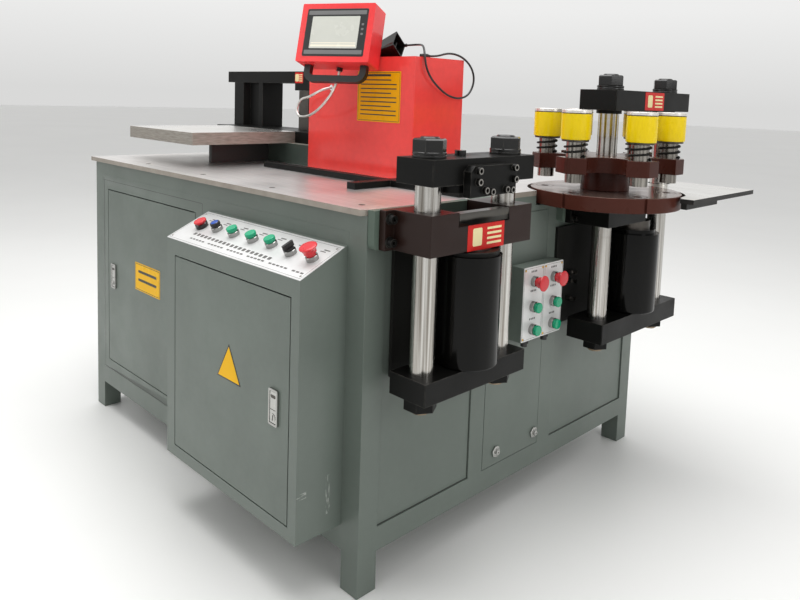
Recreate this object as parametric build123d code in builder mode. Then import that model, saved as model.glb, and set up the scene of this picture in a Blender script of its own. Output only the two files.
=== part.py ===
from build123d import *
import math
import os

os.makedirs("parts", exist_ok=True)

# A busbar processing machine: a steel cabinet that carries a shearing station, a punching
# station with a six-tool turret, and a bending station on its table.
# The origin is the centre of the near corner foot, on the floor. +X points out of the
# station side, -Y out of the side with the electric box, +Z up. Lengths are in millimetres.

# Fits
gap = 0.3  # running clearance between pieces that move
seat = 0.05  # radial room of a fastened round piece
door_gap = 3  # all round a door
sheet = 2  # sheet metal

# Cabinet
leg = 55
leg_wall = 4
cabinet_width = 1353
cabinet_depth = 1166
rail_low = 89
rail_high = 145
rail_depth = 40
top_rail = 40
post_near = 361
post_near_width = 54
post_far = 655
post_far_width = 60
panel_recess = 4
table_z = 850
table_thick = 13
table_overhang = 12
corner_cut = 20

under_z = table_z - table_thick
side_x = leg / 2
front_y = -leg / 2
far_x = side_x - cabinet_width
back_y = front_y + cabinet_depth
panel_top = under_z - top_rail

# Tool door in the front, and the compartment behind it
tool_frame_left = far_x + 63
tool_frame_right = side_x - 658
tool_frame_low = 149
tool_frame_high = 779
tool_door_left = tool_frame_left + 32
tool_door_right = tool_frame_right - 39
tool_door_low = 181.5
tool_door_high = 748
tool_frame_depth = 30
compartment_depth = 300
front_sheet = 3

# Doors, hinges and latches
stiffener_inset = 24
stiffener_depth = 12
hinge_inset = 8
hinge_back = 5
hinge_pin = 3
hinge_pin_length = 9
hinge_block = 24
latch_width = 33
latch_height = 80
latch_rim = 5
latch_proud = 5
latch_pin = 1.3
latch_lever_thick = 3.6

# Electric box on the front
box_left = side_x - 614
box_right = side_x - 59
box_depth = 122.5
box_low = 146
box_front_high = 709
box_back_high = 766.5
box_door_left = side_x - 572
box_door_right = side_x - 90
box_door_low = 178
box_door_high = 667
panel_thick = 1.5

# Push buttons
collar_radius = 14
collar_height = 11
cap_radius = 11
cap_flange = 13.5
blue_flange = 12.5
stop_flange = 16
cap_proud = 24
button_stroke = 4
mushroom_radius = 20
mushroom_height = 36

# Hand box on the station side
hand_standoff = 10
hand_depth = 38
hand_low_z = 476
hand_height = 191

# Presses: stroke, columns, nuts
stroke = 36
station_plate = 20
station_ear = 18
thread_radius = 21
nut_height = 27
washer_height = 6
washer_radius = 35
nut_radius = 36
stub = 3.5
low_stub = 9
rod_radius = 45
barrel_floor = 27
ear_screw_x = side_x + station_plate + station_ear
ear_screw_radius = 9
ear_washer_radius = 12
ear_washer = 3
ear_head = 12

# Shearing station
shear_y = front_y + 207
shear_half = 167
shear_front = side_x + 141
shear_back = side_x + 38
shear_column_x = side_x + 90
shear_column_half = 125
shear_column_radius = 27
shear_top_low = 908.5
shear_top_high = 962
shear_fixed_low = 768
shear_fixed_high = 852
shear_ear = 25
notch_half = 82.5
notch_low = 825
lower_blade_depth = 22
shear_plate_low = 465
shear_plate_high = 513
shear_barrel_x = side_x + 103
shear_barrel_radius = 70
shear_barrel_high = 755
blade_thick = 19
blade_low = 883
blade_high = 948
blade_half = 75.5
blade_rake = 3
blade_corner = 12
blade_screw_radius = 8
blade_screw_head = 8
top_screw_radius = 12
top_screw_head = 12
hold_down_radius = 31.5
hold_down_y = front_y + 148
hold_down_low = table_z + stroke + 3

# Punching station
turret_x = side_x + 90.8
turret_y = back_y - 388
punch_circle = 158
station_count = 6
punch_front = side_x + 142
punch_back = side_x + 34
punch_far_y = turret_y + 316.7
punch_low_y = turret_y - 57.5
punch_high_y = turret_y + 373.5
bed_front_end = turret_y + 145.6
bed_saddle = 20
punch_column_radius = 26.5
punch_top_low = 1064.6
punch_top_high = 1118
bed_low = 758
bed_high = 815
punch_ear = 15
punch_plate_low = 442.7
punch_plate_high = 497.7
punch_barrel_x = side_x + 100
punch_barrel_radius = 72
punch_barrel_high = 722
gland_flange_radius = 60
gland_flange_height = 12
under_collar_radius = 33
under_collar_height = 9

# The hand box hangs between the two presses
shear_end_y = shear_y + shear_half
hand_room = punch_low_y - shear_end_y
hand_width = min(175, hand_room - 20)
hand_low_y = shear_end_y + 0.6589 * (hand_room - hand_width)

# Turret
disc_radius = 196
disc_high = 853
neck_radius = 64
carrier_low = 903.5
carrier_high = 944
carrier_flat = 172
carrier_corner = 196
scallop_radius = 52
scallop_centre = 150
rim_notch_width = 8
rim_notch_depth = 6
guide_radius = 22
guide_low = 880
guide_high = 983
punch_stem_radius = 17
punch_tip_radius = 9
punch_tip_length = 28
die_radius = 24
die_depth = 20
die_hole_radius = 10
slug_radius = 15
cap_disc_radius = 37.5
cap_disc_height = 10
urethane_low = 989
coil_outer_radius = 27
disc_room = 9

# Table extension past the turret
extension_reach = 330
extension_low_y = turret_y + 14
extension_high_y = turret_y + 412
extension_thick = 12
rest_width = 30
rest_drop = 20
rest_reach = 150
lip_left = side_x + 297
lip_width = 15

# Fence bars on the table
bar_height = 17
fence_low_y = front_y + 309
fence_width = 25
fence_left = far_x + 524
fence_right = side_x - 20
cross_left = side_x - 285
cross_width = 30
cross_low_y = front_y + 187
cross_high_y = front_y + 400

# Bending station
base_left = far_x - table_overhang
base_right = base_left + 1035
base_low_y = front_y + 445
base_high_y = front_y + 640
bend_bed_low = 917
bend_z = 955
bend_bed_left = base_left - 22
bend_bed_right = base_left + 625
bend_bed_low_y = front_y + 475
bend_plate_left = base_left + 54
bend_plate_right = base_left + 475
bend_plate_low_y = front_y + 97
web_left = base_left + 350
web_thick = 15
web_low_y = front_y + 225
web_length = 220
portal_low_y = front_y + 550
die_post_width = 190
die_post_strip = 62
die_post_recess = 105
die_post_recess_depth = 25
tie_left = base_left - 68
tie_right = base_left + 635
tie_low = 1117
tie_high = 1158
ram_left = base_left + 386
ram_width = 59
ram_stroke = 150
ram_guide_height = 25
flange_width = 40
cylinder_radius = 50
cylinder_length = 330
cylinder_z = 1035
ram_rod_radius = 30
ram_rod_overlap = 60
base_wall = 8

# Red cover over the cylinder
cover_left = base_left + 589
cover_right = base_left + 1055
cover_low_y = front_y + 440
cover_high_y = front_y + 647
cover_high = 1193
cover_strip = 32

# Operator screen on its swivel post
screen_yaw = 24.1
screen_tilt = 15
screen_x = cover_right - 211.8
screen_y = front_y + 332.9
screen_z = 1255.7
screen_width = 226.8
screen_height = 171.7
screen_depth = 74.5
bezel_width = 190.7
bezel_height = 140.3
bezel_thick = 5
swivel_reach = 84
swivel_pin_radius = 12
swivel_sleeve_radius = 18
swivel_sleeve_height = 50
swivel_base_radius = 30
swivel_base_height = 6
handle_half = 87.5
handle_drop = 40
handle_radius = 9.5
handle_bend = 20
gland_back = 22
gland_radius = 10
gland_length = 9

# Foot switch lying on the cover, its mouth turned to the station side
switch_x = cover_right - 104
switch_y = front_y + 480
switch_turn = 16.5
switch_length = 70
switch_mouth = 54
switch_back = 30
switch_wall = 3
pedal_thick = 3
pedal_gap = 2
pedal_pin = 2
ear_depth = 46

# Cords
foot_cord_radius = 3
relief_radius = 5
relief_length = 14
plug_length = 26
hose_radius = 4
cord_reach = 310


def block(low_x, high_x, low_y, high_y, low_z, high_z, mode=Mode.ADD):
    """Adds or cuts a block between six faces."""
    middle = ((low_x + high_x) / 2, (low_y + high_y) / 2, (low_z + high_z) / 2)
    with Locations(middle):
        Box(high_x - low_x, high_y - low_y, high_z - low_z, mode=mode)


def round_bar(x, y, low_z, high_z, radius, mode=Mode.ADD):
    """Adds or cuts an upright cylinder."""
    with Locations((x, y, (low_z + high_z) / 2)):
        Cylinder(radius, high_z - low_z, mode=mode)


def save(piece, name):
    """Names a finished piece and writes it."""
    piece.label = name
    export_step(piece, f"parts/{name}.step")


# Cabinet frame
leg_middles = [(x, y) for x in (0, far_x + leg / 2) for y in (0, back_y - leg / 2)]
with BuildPart() as cabinet_frame:
    for x, y in leg_middles:
        block(x - leg / 2, x + leg / 2, y - leg / 2, y + leg / 2, 0, under_z)
    for low_z, high_z in ((rail_low, rail_high), (panel_top, under_z)):
        block(side_x - rail_depth, side_x, front_y + leg, back_y - leg, low_z, high_z)
        block(far_x, far_x + rail_depth, front_y + leg, back_y - leg, low_z, high_z)
        block(far_x + leg, side_x - leg, front_y, front_y + rail_depth, low_z, high_z)
        block(far_x + leg, side_x - leg, back_y - rail_depth, back_y, low_z, high_z)
    for start, width in ((post_near, post_near_width), (post_far, post_far_width)):
        low_y = front_y + start
        block(side_x - rail_depth, side_x, low_y, low_y + width, rail_high, panel_top)
    for x, y in leg_middles:
        inner = leg / 2 - leg_wall
        block(x - inner, x + inner, y - inner, y + inner, leg_wall, under_z, Mode.SUBTRACT)
    # Room for the turret's disc over the top rail
    disc_low = bed_high + gap
    round_bar(turret_x, turret_y, disc_low - disc_room / 2, under_z, disc_radius + disc_room, Mode.SUBTRACT)
cabinet_frame.part.label = "cabinet_frame"
export_step(cabinet_frame.part, "parts/cabinet_frame.step")

# Cabinet sheets, door frame and tool compartment
with BuildPart() as cabinet_panels:
    side_out = side_x - panel_recess
    for low_y, high_y in (
        (front_y + leg, front_y + post_near),
        (front_y + post_far + post_far_width, back_y - leg),
    ):
        block(side_out - sheet, side_out, low_y, high_y, rail_high, panel_top)
    # The middle panel lifts off, with a seam round it
    middle_low = front_y + post_near + post_near_width
    middle_high = front_y + post_far
    seam = door_gap / 2
    block(side_x - sheet, side_x, middle_low + seam, middle_high - seam, rail_high + seam, panel_top - seam)
    block(side_x - 3 * sheet, side_x - 2 * sheet, middle_low, middle_high, rail_high, panel_top)
    block(side_x - 2 * sheet, side_x - sheet, middle_low + 20, middle_low + 40, rail_high, panel_top)
    block(side_x - 2 * sheet, side_x - sheet, middle_high - 40, middle_high - 20, rail_high, panel_top)
    # Back, far side and floor pan
    block(far_x + leg, side_x - leg, back_y - panel_recess - sheet, back_y - panel_recess, rail_high, panel_top)
    block(far_x + panel_recess, far_x + panel_recess + sheet, front_y + leg, back_y - leg, rail_high, panel_top)
    block(
        far_x + rail_depth,
        side_x - rail_depth,
        front_y + leg,
        back_y - leg,
        rail_low,
        rail_low + sheet,
    )
    # Front sheet with the opening for the door frame
    block(far_x + leg, side_x - leg, front_y, front_y + front_sheet, rail_high, panel_top)
    block(
        tool_frame_left,
        tool_frame_right,
        front_y,
        front_y + front_sheet,
        tool_frame_low,
        tool_frame_high,
        Mode.SUBTRACT,
    )
door_frame_left = tool_door_left - door_gap
door_frame_right = tool_door_right + door_gap
door_frame_low = tool_door_low - door_gap
door_frame_high = tool_door_high + door_gap
tool_hinge_x = tool_door_right - hinge_inset
hinge_y = front_y + hinge_back
frame_back_y = front_y + tool_frame_depth
with BuildPart() as door_frame:
    block(tool_frame_left, tool_frame_right, front_y, frame_back_y, tool_frame_low, tool_frame_high)
    block(
        door_frame_left,
        door_frame_right,
        front_y,
        frame_back_y,
        door_frame_low,
        door_frame_high,
        Mode.SUBTRACT,
    )
    hole = hinge_pin + gap
    pin_reach = hinge_pin_length + 1
    round_bar(tool_hinge_x, hinge_y, tool_door_low - pin_reach, door_frame_low, hole, Mode.SUBTRACT)
    round_bar(tool_hinge_x, hinge_y, door_frame_high, tool_door_high + pin_reach, hole, Mode.SUBTRACT)
compartment_back_y = frame_back_y + compartment_depth
with BuildPart() as tool_compartment:
    block(
        tool_frame_left,
        tool_frame_right,
        frame_back_y,
        compartment_back_y,
        tool_frame_low,
        tool_frame_high,
    )
    block(
        tool_frame_left + sheet,
        tool_frame_right - sheet,
        frame_back_y,
        compartment_back_y - sheet,
        tool_frame_low + sheet,
        tool_frame_high - sheet,
        Mode.SUBTRACT,
    )
    shelf_z = (tool_frame_low + tool_frame_high) / 2
    block(
        tool_frame_left + sheet,
        tool_frame_right - sheet,
        frame_back_y + stiffener_inset,
        compartment_back_y - sheet,
        shelf_z,
        shelf_z + sheet,
    )
save(Compound(children=[*cabinet_panels.part.solids(), door_frame.part]), "cabinet_panels")
save(tool_compartment.part, "tool_compartment")


def door(left, right, low, high, face_y, hinge_x, latch_x, latch_z):
    """A flush sheet door with a stiffener, two hinge pins and the rim of its latch."""
    with BuildPart() as leaf:
        block(left, right, face_y, face_y + sheet, low, high)
        with BuildSketch(Plane.XZ.offset(-face_y - sheet)):
            with Locations(((left + right) / 2, (low + high) / 2)):
                Rectangle(right - left - 2 * stiffener_inset, high - low - 2 * stiffener_inset)
                inner = 2 * stiffener_inset + 2 * sheet
                Rectangle(right - left - inner, high - low - inner, mode=Mode.SUBTRACT)
        extrude(amount=-stiffener_depth)
        hinge_line = face_y + hinge_back
        for block_low, pin_low in ((low, low - hinge_pin_length), (high - hinge_block, high)):
            block(
                hinge_x - hinge_inset + 1,
                hinge_x + hinge_inset - 1,
                face_y + sheet,
                hinge_line + hinge_back,
                block_low,
                block_low + hinge_block,
            )
            round_bar(hinge_x, hinge_line, pin_low, pin_low + hinge_pin_length, hinge_pin)
    with BuildPart() as latch_frame:
        with BuildSketch(Plane.XZ.offset(-face_y)):
            with Locations((latch_x, latch_z)):
                RectangleRounded(latch_width, latch_height, latch_rim)
                Rectangle(latch_width - 2 * latch_rim, latch_height - 2 * latch_rim, mode=Mode.SUBTRACT)
        extrude(amount=latch_proud)
        with Locations(latch_pivot(face_y, latch_x, latch_z)):
            Cylinder(
                latch_pin + gap,
                latch_width - latch_rim,
                rotation=(0, 90, 0),
                mode=Mode.SUBTRACT,
            )
    return Compound(children=[leaf.part, latch_frame.part])


def latch_pivot(face_y, latch_x, latch_z):
    """The middle of a latch lever's pivot pin."""
    half_lever = latch_lever_thick / 2
    return (latch_x, face_y - half_lever - gap, latch_z + latch_height / 2 - latch_rim - half_lever - gap)


def latch_lever(face_y, latch_x, latch_z):
    """A lift lever that hangs from its pivot inside the latch rim."""
    pivot = latch_pivot(face_y, latch_x, latch_z)
    half_lever = latch_lever_thick / 2
    lever_low = latch_z - latch_height / 2 + latch_rim + 1
    lever_width = latch_width - 2 * latch_rim - 2 * gap
    with BuildPart() as lever:
        with BuildSketch(Plane.YZ.offset(latch_x - lever_width / 2)):
            with Locations((pivot[1], pivot[2])):
                Circle(half_lever)
            with Locations((pivot[1], (lever_low + pivot[2]) / 2)):
                Rectangle(latch_lever_thick, pivot[2] - lever_low)
        extrude(amount=lever_width)
        with Locations(pivot):
            Cylinder(latch_pin, latch_width - latch_rim - 2 * gap, rotation=(0, 90, 0))
    return lever.part


tool_latch_x = tool_door_left + 42.5
tool_latch_z = 470
tool_door = door(
    tool_door_left,
    tool_door_right,
    tool_door_low,
    tool_door_high,
    front_y,
    tool_hinge_x,
    tool_latch_x,
    tool_latch_z,
)
save(tool_door, "tool_door")
tool_latch = latch_lever(front_y, tool_latch_x, tool_latch_z)
save(tool_latch, "tool_latch")

# Cam locks of the lift-off panel
for number, lock_y in enumerate((front_y + 468, front_y + 634), start=1):
    with BuildPart() as cam_lock:
        with BuildSketch(Plane.YZ.offset(side_x + gap)):
            with Locations((lock_y, rail_high + 36)):
                Circle(11)
                Rectangle(2.5, 12, mode=Mode.SUBTRACT)
        extrude(amount=5)
        chamfer(cam_lock.faces().sort_by(Axis.X)[-1].outer_wire().edges(), 1.5)
    cam_lock.part.label = f"cam_lock_{number}"
    export_step(cam_lock.part, f"parts/cam_lock_{number}.step")

# Table plate, cut round the turret and across its near corner
screw_spots = [
    (side_x - 60 - column * 331, y)
    for column in range(4)
    for y in (front_y + 38, back_y - 38)
]
screw_radius = 8
with BuildPart() as table_top:
    table_left = far_x - table_overhang
    table_front = front_y - table_overhang
    with BuildSketch(Plane.XY.offset(under_z)):
        with BuildLine():
            Polyline(
                (table_left, table_front),
                (side_x - corner_cut / 2, table_front),
                (side_x, table_front + corner_cut),
                (side_x, back_y),
                (table_left, back_y),
                close=True,
            )
        make_face()
        with Locations((turret_x, turret_y)):
            Circle(disc_radius + disc_room, mode=Mode.SUBTRACT)
    extrude(amount=table_thick)
    for x, y in screw_spots:
        round_bar(x, y, table_z - screw_radius, table_z, screw_radius, Mode.SUBTRACT)
table_top.part.label = "table_top"
export_step(table_top.part, "parts/table_top.step")

# Fence bar and the cross bar half-lapped into it
fence_high_y = fence_low_y + fence_width
cross_right = cross_left + cross_width
lap_z = table_z + bar_height / 2
with BuildPart() as fence_bar:
    block(fence_left, fence_right, fence_low_y, fence_high_y, table_z, table_z + bar_height)
    block(cross_left, cross_right, fence_low_y, fence_high_y, lap_z, table_z + bar_height, Mode.SUBTRACT)
with BuildPart() as cross_bar:
    block(cross_left, cross_right, cross_low_y, cross_high_y, table_z, table_z + bar_height)
    block(cross_left, cross_right, fence_low_y, fence_high_y, table_z, lap_z, Mode.SUBTRACT)
save(Compound(children=[fence_bar.part, cross_bar.part]), "guide_bars")

# Electric box
box_front_y = front_y - box_depth
slope_rise = box_back_high - box_front_high
slope_angle = math.degrees(math.atan2(slope_rise, box_depth))
slope_length = math.hypot(slope_rise, box_depth)


def box_side(inset):
    """The box's side outline, seen along X, drawn inwards by a wall."""
    tan_slope = slope_rise / box_depth
    low_slope_z = box_front_high - inset / math.cos(math.radians(slope_angle)) + inset * tan_slope
    high_slope_z = low_slope_z + (box_depth - 2 * inset) * tan_slope
    return [
        (box_front_y + inset, box_low + inset),
        (front_y - inset, box_low + inset),
        (front_y - inset, high_slope_z),
        (box_front_y + inset, low_slope_z),
    ]


box_hinge_x = box_door_left + hinge_inset
box_hinge_y = box_front_y + hinge_back
with BuildPart() as electric_box:
    with BuildSketch(Plane.YZ.offset(box_left)):
        Polygon(*box_side(0), align=None)
    extrude(amount=box_right - box_left)
    with BuildSketch(Plane.YZ.offset(box_left + sheet)):
        Polygon(*box_side(sheet), align=None)
    extrude(amount=box_right - box_left - 2 * sheet, mode=Mode.SUBTRACT)
    block(
        box_door_left - door_gap,
        box_door_right + door_gap,
        box_front_y,
        box_front_y + sheet,
        box_door_low - door_gap,
        box_door_high + door_gap,
        Mode.SUBTRACT,
    )
    # Folded lips above and below the door take its hinge pins
    lip_depth = 2 * hinge_back
    for low_z in (box_door_low - door_gap - sheet, box_door_high + door_gap):
        block(
            box_door_left - door_gap,
            box_door_right + door_gap,
            box_front_y,
            box_front_y + lip_depth,
            low_z,
            low_z + sheet,
        )
        round_bar(box_hinge_x, box_hinge_y, low_z, low_z + sheet, hinge_pin + gap, Mode.SUBTRACT)
electric_box.part.label = "electric_box"
export_step(electric_box.part, "parts/electric_box.step")

box_latch_x = side_x - 139.5
box_latch_z = 421
electric_door = door(
    box_door_left,
    box_door_right,
    box_door_low,
    box_door_high,
    box_front_y,
    box_hinge_x,
    box_latch_x,
    box_latch_z,
)
save(electric_door, "electric_door")
save(latch_lever(box_front_y, box_latch_x, box_latch_z), "electric_latch")

# Mounting plate, rails, contactors and transformer inside the box
with BuildPart() as electric_parts:
    board_y = front_y - sheet
    board_front = board_y - 5
    block(box_left + 40, box_right - 40, board_front, board_y, box_low + 40, box_front_high - 60)
    for rail_z in (box_low + 160, box_low + 310, box_low + 440):
        block(box_left + 70, box_right - 70, board_front - 8, board_front, rail_z, rail_z + 35)
    rail_front = board_front - 8
    for number in range(4):
        contactor_x = box_left + 90 + number * 90
        block(contactor_x, contactor_x + 45, rail_front - 55, rail_front, box_low + 290, box_low + 366)
        block(contactor_x, contactor_x + 54, rail_front - 45, rail_front, box_low + 420, box_low + 500)
    block(box_left + 120, box_left + 210, board_front - 75, board_front, box_low + 50, box_low + 130)
    for number in range(10):
        terminal_x = box_left + 240 + number * 16
        block(terminal_x, terminal_x + 14, rail_front - 35, rail_front, box_low + 150, box_low + 200)
electric_parts.part.label = "electric_parts"
export_step(electric_parts.part, "parts/electric_parts.step")

# Silver control plates and the collars of their buttons
slope = math.radians(slope_angle)
console = Plane(
    origin=(side_x, box_front_y, box_front_high),
    x_dir=(1, 0, 0),
    z_dir=(0, -math.sin(slope), math.cos(slope)),
)
console_width = box_right - box_left
console_middle = (box_left + box_right) / 2 - side_x
console_edge = 8
hand_face_x = side_x + hand_standoff + hand_depth
hand_middle_y = hand_low_y + hand_width / 2
hand_middle_z = hand_low_z + hand_height / 2
hand_face = Plane(origin=(hand_face_x, hand_middle_y, hand_middle_z), x_dir=(0, 1, 0), z_dir=(1, 0, 0))

stop_spot = (-548, 68)
blue_spot = (-481, 72)
green_spots = [(-404, 71), (-324, 71), (-250, 72)]
selector_spot = (-170, 65)
emergency_spot = (-95, 66)
hand_column = 44
hand_stop_height = 57
hand_green_heights = (-8, -67)
hand_stop_spots = [(-hand_column, hand_stop_height), (hand_column, hand_stop_height)]
hand_green_spots = [(u, v) for u in (-hand_column, hand_column) for v in hand_green_heights]


def collar(plane, spot):
    """A silver collar on a control plate."""
    with BuildPart() as ring:
        with BuildSketch(plane.offset(panel_thick)):
            with Locations(spot):
                Circle(collar_radius)
                Circle(cap_radius + gap, mode=Mode.SUBTRACT)
        extrude(amount=collar_height)
        top = ring.faces().sort_by(Axis(plane.origin, plane.z_dir))[-1]
        chamfer(top.outer_wire().edges(), 1)
    return ring.part


with BuildPart() as console_plate:
    with BuildSketch(console):
        with Locations((console_middle, (slope_length - console_edge) / 2)):
            Rectangle(console_width, slope_length - console_edge)
    extrude(amount=panel_thick)
hand_plates = []
for side in (-1, 1):
    with BuildPart() as hand_plate:
        with BuildSketch(hand_face):
            with Locations((side * hand_width / 4, 0)):
                RectangleRounded(hand_width / 2 - 1, hand_height, 3)
        extrude(amount=panel_thick)
    hand_plates.append(hand_plate.part)
console_spots = [stop_spot, blue_spot, *green_spots, selector_spot, emergency_spot]
collars = [collar(console, spot) for spot in console_spots]
collars += [collar(hand_face, spot) for spot in hand_stop_spots + hand_green_spots]
save(Compound(children=[console_plate.part, *hand_plates, *collars]), "control_plates")


def push_cap(plane, spot, radius, top_height, rounding):
    """A button's cap, standing in its collar with room to be pressed."""
    foot = panel_thick + button_stroke + gap
    with BuildPart() as cap:
        with BuildSketch(plane.offset(foot)):
            with Locations(spot):
                Circle(cap_radius)
        extrude(amount=top_height - foot)
        if radius > cap_radius:
            with BuildSketch(plane.offset(panel_thick + collar_height + button_stroke + gap)):
                with Locations(spot):
                    Circle(radius)
            extrude(amount=top_height - panel_thick - collar_height - button_stroke - gap)
        top = cap.faces().sort_by(Axis(plane.origin, plane.z_dir))[-1]
        fillet(top.edges(), rounding)
    return cap.part


save(push_cap(console, stop_spot, stop_flange, cap_proud - 3, 2), "stop_button")
save(push_cap(console, blue_spot, blue_flange, cap_proud, 2), "blue_button")
for number, spot in enumerate(green_spots, start=1):
    save(push_cap(console, spot, cap_flange, cap_proud, 2), f"green_button_{number}")
save(push_cap(console, emergency_spot, mushroom_radius, mushroom_height, 6), "emergency_stop")
for number, spot in enumerate(hand_stop_spots, start=1):
    save(push_cap(hand_face, spot, mushroom_radius, mushroom_height, 6), f"hand_stop_{number}")
for number, spot in enumerate(hand_green_spots, start=1):
    save(push_cap(hand_face, spot, cap_flange, cap_proud, 2), f"hand_button_{number}")

# Selector knob with its grip bar
with BuildPart() as selector_knob:
    with BuildSketch(console.offset(panel_thick + gap)):
        with Locations(selector_spot):
            Circle(cap_radius)
    extrude(amount=collar_height + 3)
    with BuildSketch(console.offset(panel_thick + collar_height + 3)):
        with Locations(selector_spot):
            SlotOverall(2 * cap_radius + 8, 7, rotation=90)
    extrude(amount=12)
selector_knob.part.label = "selector_knob"
export_step(selector_knob.part, "parts/selector_knob.step")

# Hand box with its standoff, cable glands and brass screws
with BuildPart() as hand_box:
    block(
        side_x + hand_standoff,
        hand_face_x,
        hand_low_y,
        hand_low_y + hand_width,
        hand_low_z,
        hand_low_z + hand_height,
    )
    block(
        side_x,
        side_x + hand_standoff,
        hand_low_y + 20,
        hand_low_y + hand_width - 20,
        hand_middle_z,
        hand_low_z + hand_height - 20,
    )
    for gland_y in (hand_middle_y - hand_column, hand_middle_y + hand_column):
        round_bar(side_x + hand_standoff + hand_depth / 2, gland_y, hand_low_z - 22, hand_low_z, 9)
        with BuildSketch(Plane.XY.offset(hand_low_z - 12)):
            with Locations((side_x + hand_standoff + hand_depth / 2, gland_y)):
                RegularPolygon(13, 6)
        extrude(amount=12)
hand_box.part.label = "hand_box"
export_step(hand_box.part, "parts/hand_box.step")


# Mounting plates of both stations, black plates behind the cylinders
def mounting_plate(low_y, high_y, low_z, high_z):
    """A thick plate on the cabinet side, with its lower corners rounded."""
    with BuildPart() as plate:
        block(side_x, side_x + station_plate, low_y, high_y, low_z, high_z)
        lower = plate.edges().filter_by(Axis.X).group_by(Axis.Z)[0]
        fillet(lower, 12)
        round_bar(
            turret_x,
            turret_y,
            bed_high + gap - disc_room / 2,
            high_z + 1,
            disc_radius + disc_room,
            Mode.SUBTRACT,
        )
    return plate.part


shear_ear_low = shear_y - shear_half - shear_ear
shear_ear_high = shear_y + shear_half + shear_ear
punch_ear_low = punch_low_y - punch_ear
punch_ear_high = punch_high_y + punch_ear
back_plate_thick = 8
with BuildPart() as shear_back_plate:
    block(
        side_x,
        side_x + back_plate_thick,
        front_y + 74,
        front_y + post_near + 6,
        shear_plate_low + 15,
        shear_fixed_low - gap,
    )
with BuildPart() as punch_back_plate:
    block(
        side_x,
        side_x + back_plate_thick,
        punch_low_y - leg / 2,
        back_y - leg / 2,
        punch_plate_low + 30,
        bed_low - 15,
    )
# Hose fittings on the punching station's back plate
with BuildPart() as hose_fittings:
    for fitting_z in (540, 590, 615):
        with BuildSketch(Plane.YZ.offset(side_x + back_plate_thick)):
            with Locations((turret_y - 25, fitting_z)):
                RegularPolygon(8, 6)
        extrude(amount=14)
station_plates = [
    mounting_plate(shear_ear_low - 13, shear_ear_high + 13, shear_fixed_low, table_z),
    mounting_plate(punch_ear_low - 13, back_y, bed_low, under_z),
    shear_back_plate.part,
    punch_back_plate.part,
    *hose_fittings.part.solids(),
]


# Fixed beams: a body with an ear at each end, bolted to the station's plate
def fixed_beam(low_y, high_y, ear, front_x, low_z, high_z):
    """A beam's plan with its ears, raised between two heights."""
    plate_x = side_x + station_plate
    with BuildPart() as beam:
        with BuildSketch(Plane.XY.offset(low_z)):
            with BuildLine():
                Polyline(
                    (plate_x, low_y - ear),
                    (ear_screw_x, low_y - ear),
                    (ear_screw_x, low_y),
                    (front_x, low_y),
                    (front_x, high_y),
                    (ear_screw_x, high_y),
                    (ear_screw_x, high_y + ear),
                    (plate_x, high_y + ear),
                    close=True,
                )
            make_face()
        extrude(amount=high_z - low_z)
    return beam.part


shear_column_ys = [shear_y - shear_column_half, shear_y + shear_column_half]
punch_column_ys = [turret_y, punch_far_y]
shear_fixed_front = shear_front - gap
with BuildPart() as shear_beam:
    add(
        fixed_beam(
            shear_y - shear_half,
            shear_y + shear_half,
            shear_ear,
            shear_fixed_front,
            shear_fixed_low,
            shear_fixed_high,
        )
    )
    for y in shear_column_ys:
        bore = shear_column_radius + gap
        round_bar(shear_column_x, y, shear_fixed_low, shear_fixed_high, bore, Mode.SUBTRACT)
    block(
        side_x + station_plate,
        shear_fixed_front,
        shear_y - notch_half,
        shear_y + notch_half,
        notch_low,
        shear_fixed_high,
        Mode.SUBTRACT,
    )
with BuildPart() as lower_blade:
    block(
        shear_fixed_front - lower_blade_depth,
        shear_fixed_front,
        shear_y - notch_half,
        shear_y + notch_half,
        notch_low,
        table_z,
    )
save(Compound(children=[shear_beam.part, lower_blade.part]), "shear_fixed_beam")

# The bed under the turret, with a blind hole for slugs
with BuildPart() as punch_bed:
    add(fixed_beam(punch_low_y, punch_high_y, punch_ear, punch_front, bed_low, bed_high))
    for y in punch_column_ys:
        round_bar(turret_x, y, bed_low, bed_high, punch_column_radius + gap, Mode.SUBTRACT)
    slug_y = turret_y + punch_circle
    round_bar(turret_x, slug_y, (bed_low + bed_high) / 2, bed_high, slug_radius, Mode.SUBTRACT)
    # Its far front corner is cut away beside the far column
    saddle_x = turret_x - bed_saddle
    with BuildSketch(Plane.XY.offset(bed_low)):
        with BuildLine():
            Polyline(
                (punch_front, bed_front_end),
                (saddle_x, bed_front_end + punch_front - saddle_x),
                (saddle_x, punch_high_y),
                (punch_front, punch_high_y),
                close=True,
            )
        make_face()
    extrude(amount=bed_high - bed_low, mode=Mode.SUBTRACT)
punch_bed.part.label = "punch_bed"
export_step(punch_bed.part, "parts/punch_bed.step")

# Piston rods, fixed under the beams
rods = []
for rod_x, rod_y, barrel_low, beam_low in (
    (shear_barrel_x, shear_y, shear_plate_high, shear_fixed_low),
    (punch_barrel_x, slug_y, punch_plate_high, bed_low),
):
    with BuildPart() as piston_rod:
        round_bar(rod_x, rod_y, barrel_low + 2 * barrel_floor, beam_low, rod_radius)
    rods.append(piston_rod.part)
save(Compound(children=rods), "piston_rods")


# Presses: each is a frame of two beams on two columns, pulled down by its barrel
def press_beam(low_x, high_x, low_y, high_y, low_z, high_z, column_x, column_ys):
    """A beam with a hole for each column's threaded end."""
    with BuildPart() as beam:
        block(low_x, high_x, low_y, high_y, low_z, high_z)
        for y in column_ys:
            round_bar(column_x, y, low_z, high_z, thread_radius + seat, Mode.SUBTRACT)
        chamfer(beam.edges().filter_by(Axis.Z).filter_by(GeomType.LINE), 1.5)
    return beam.part


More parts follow.
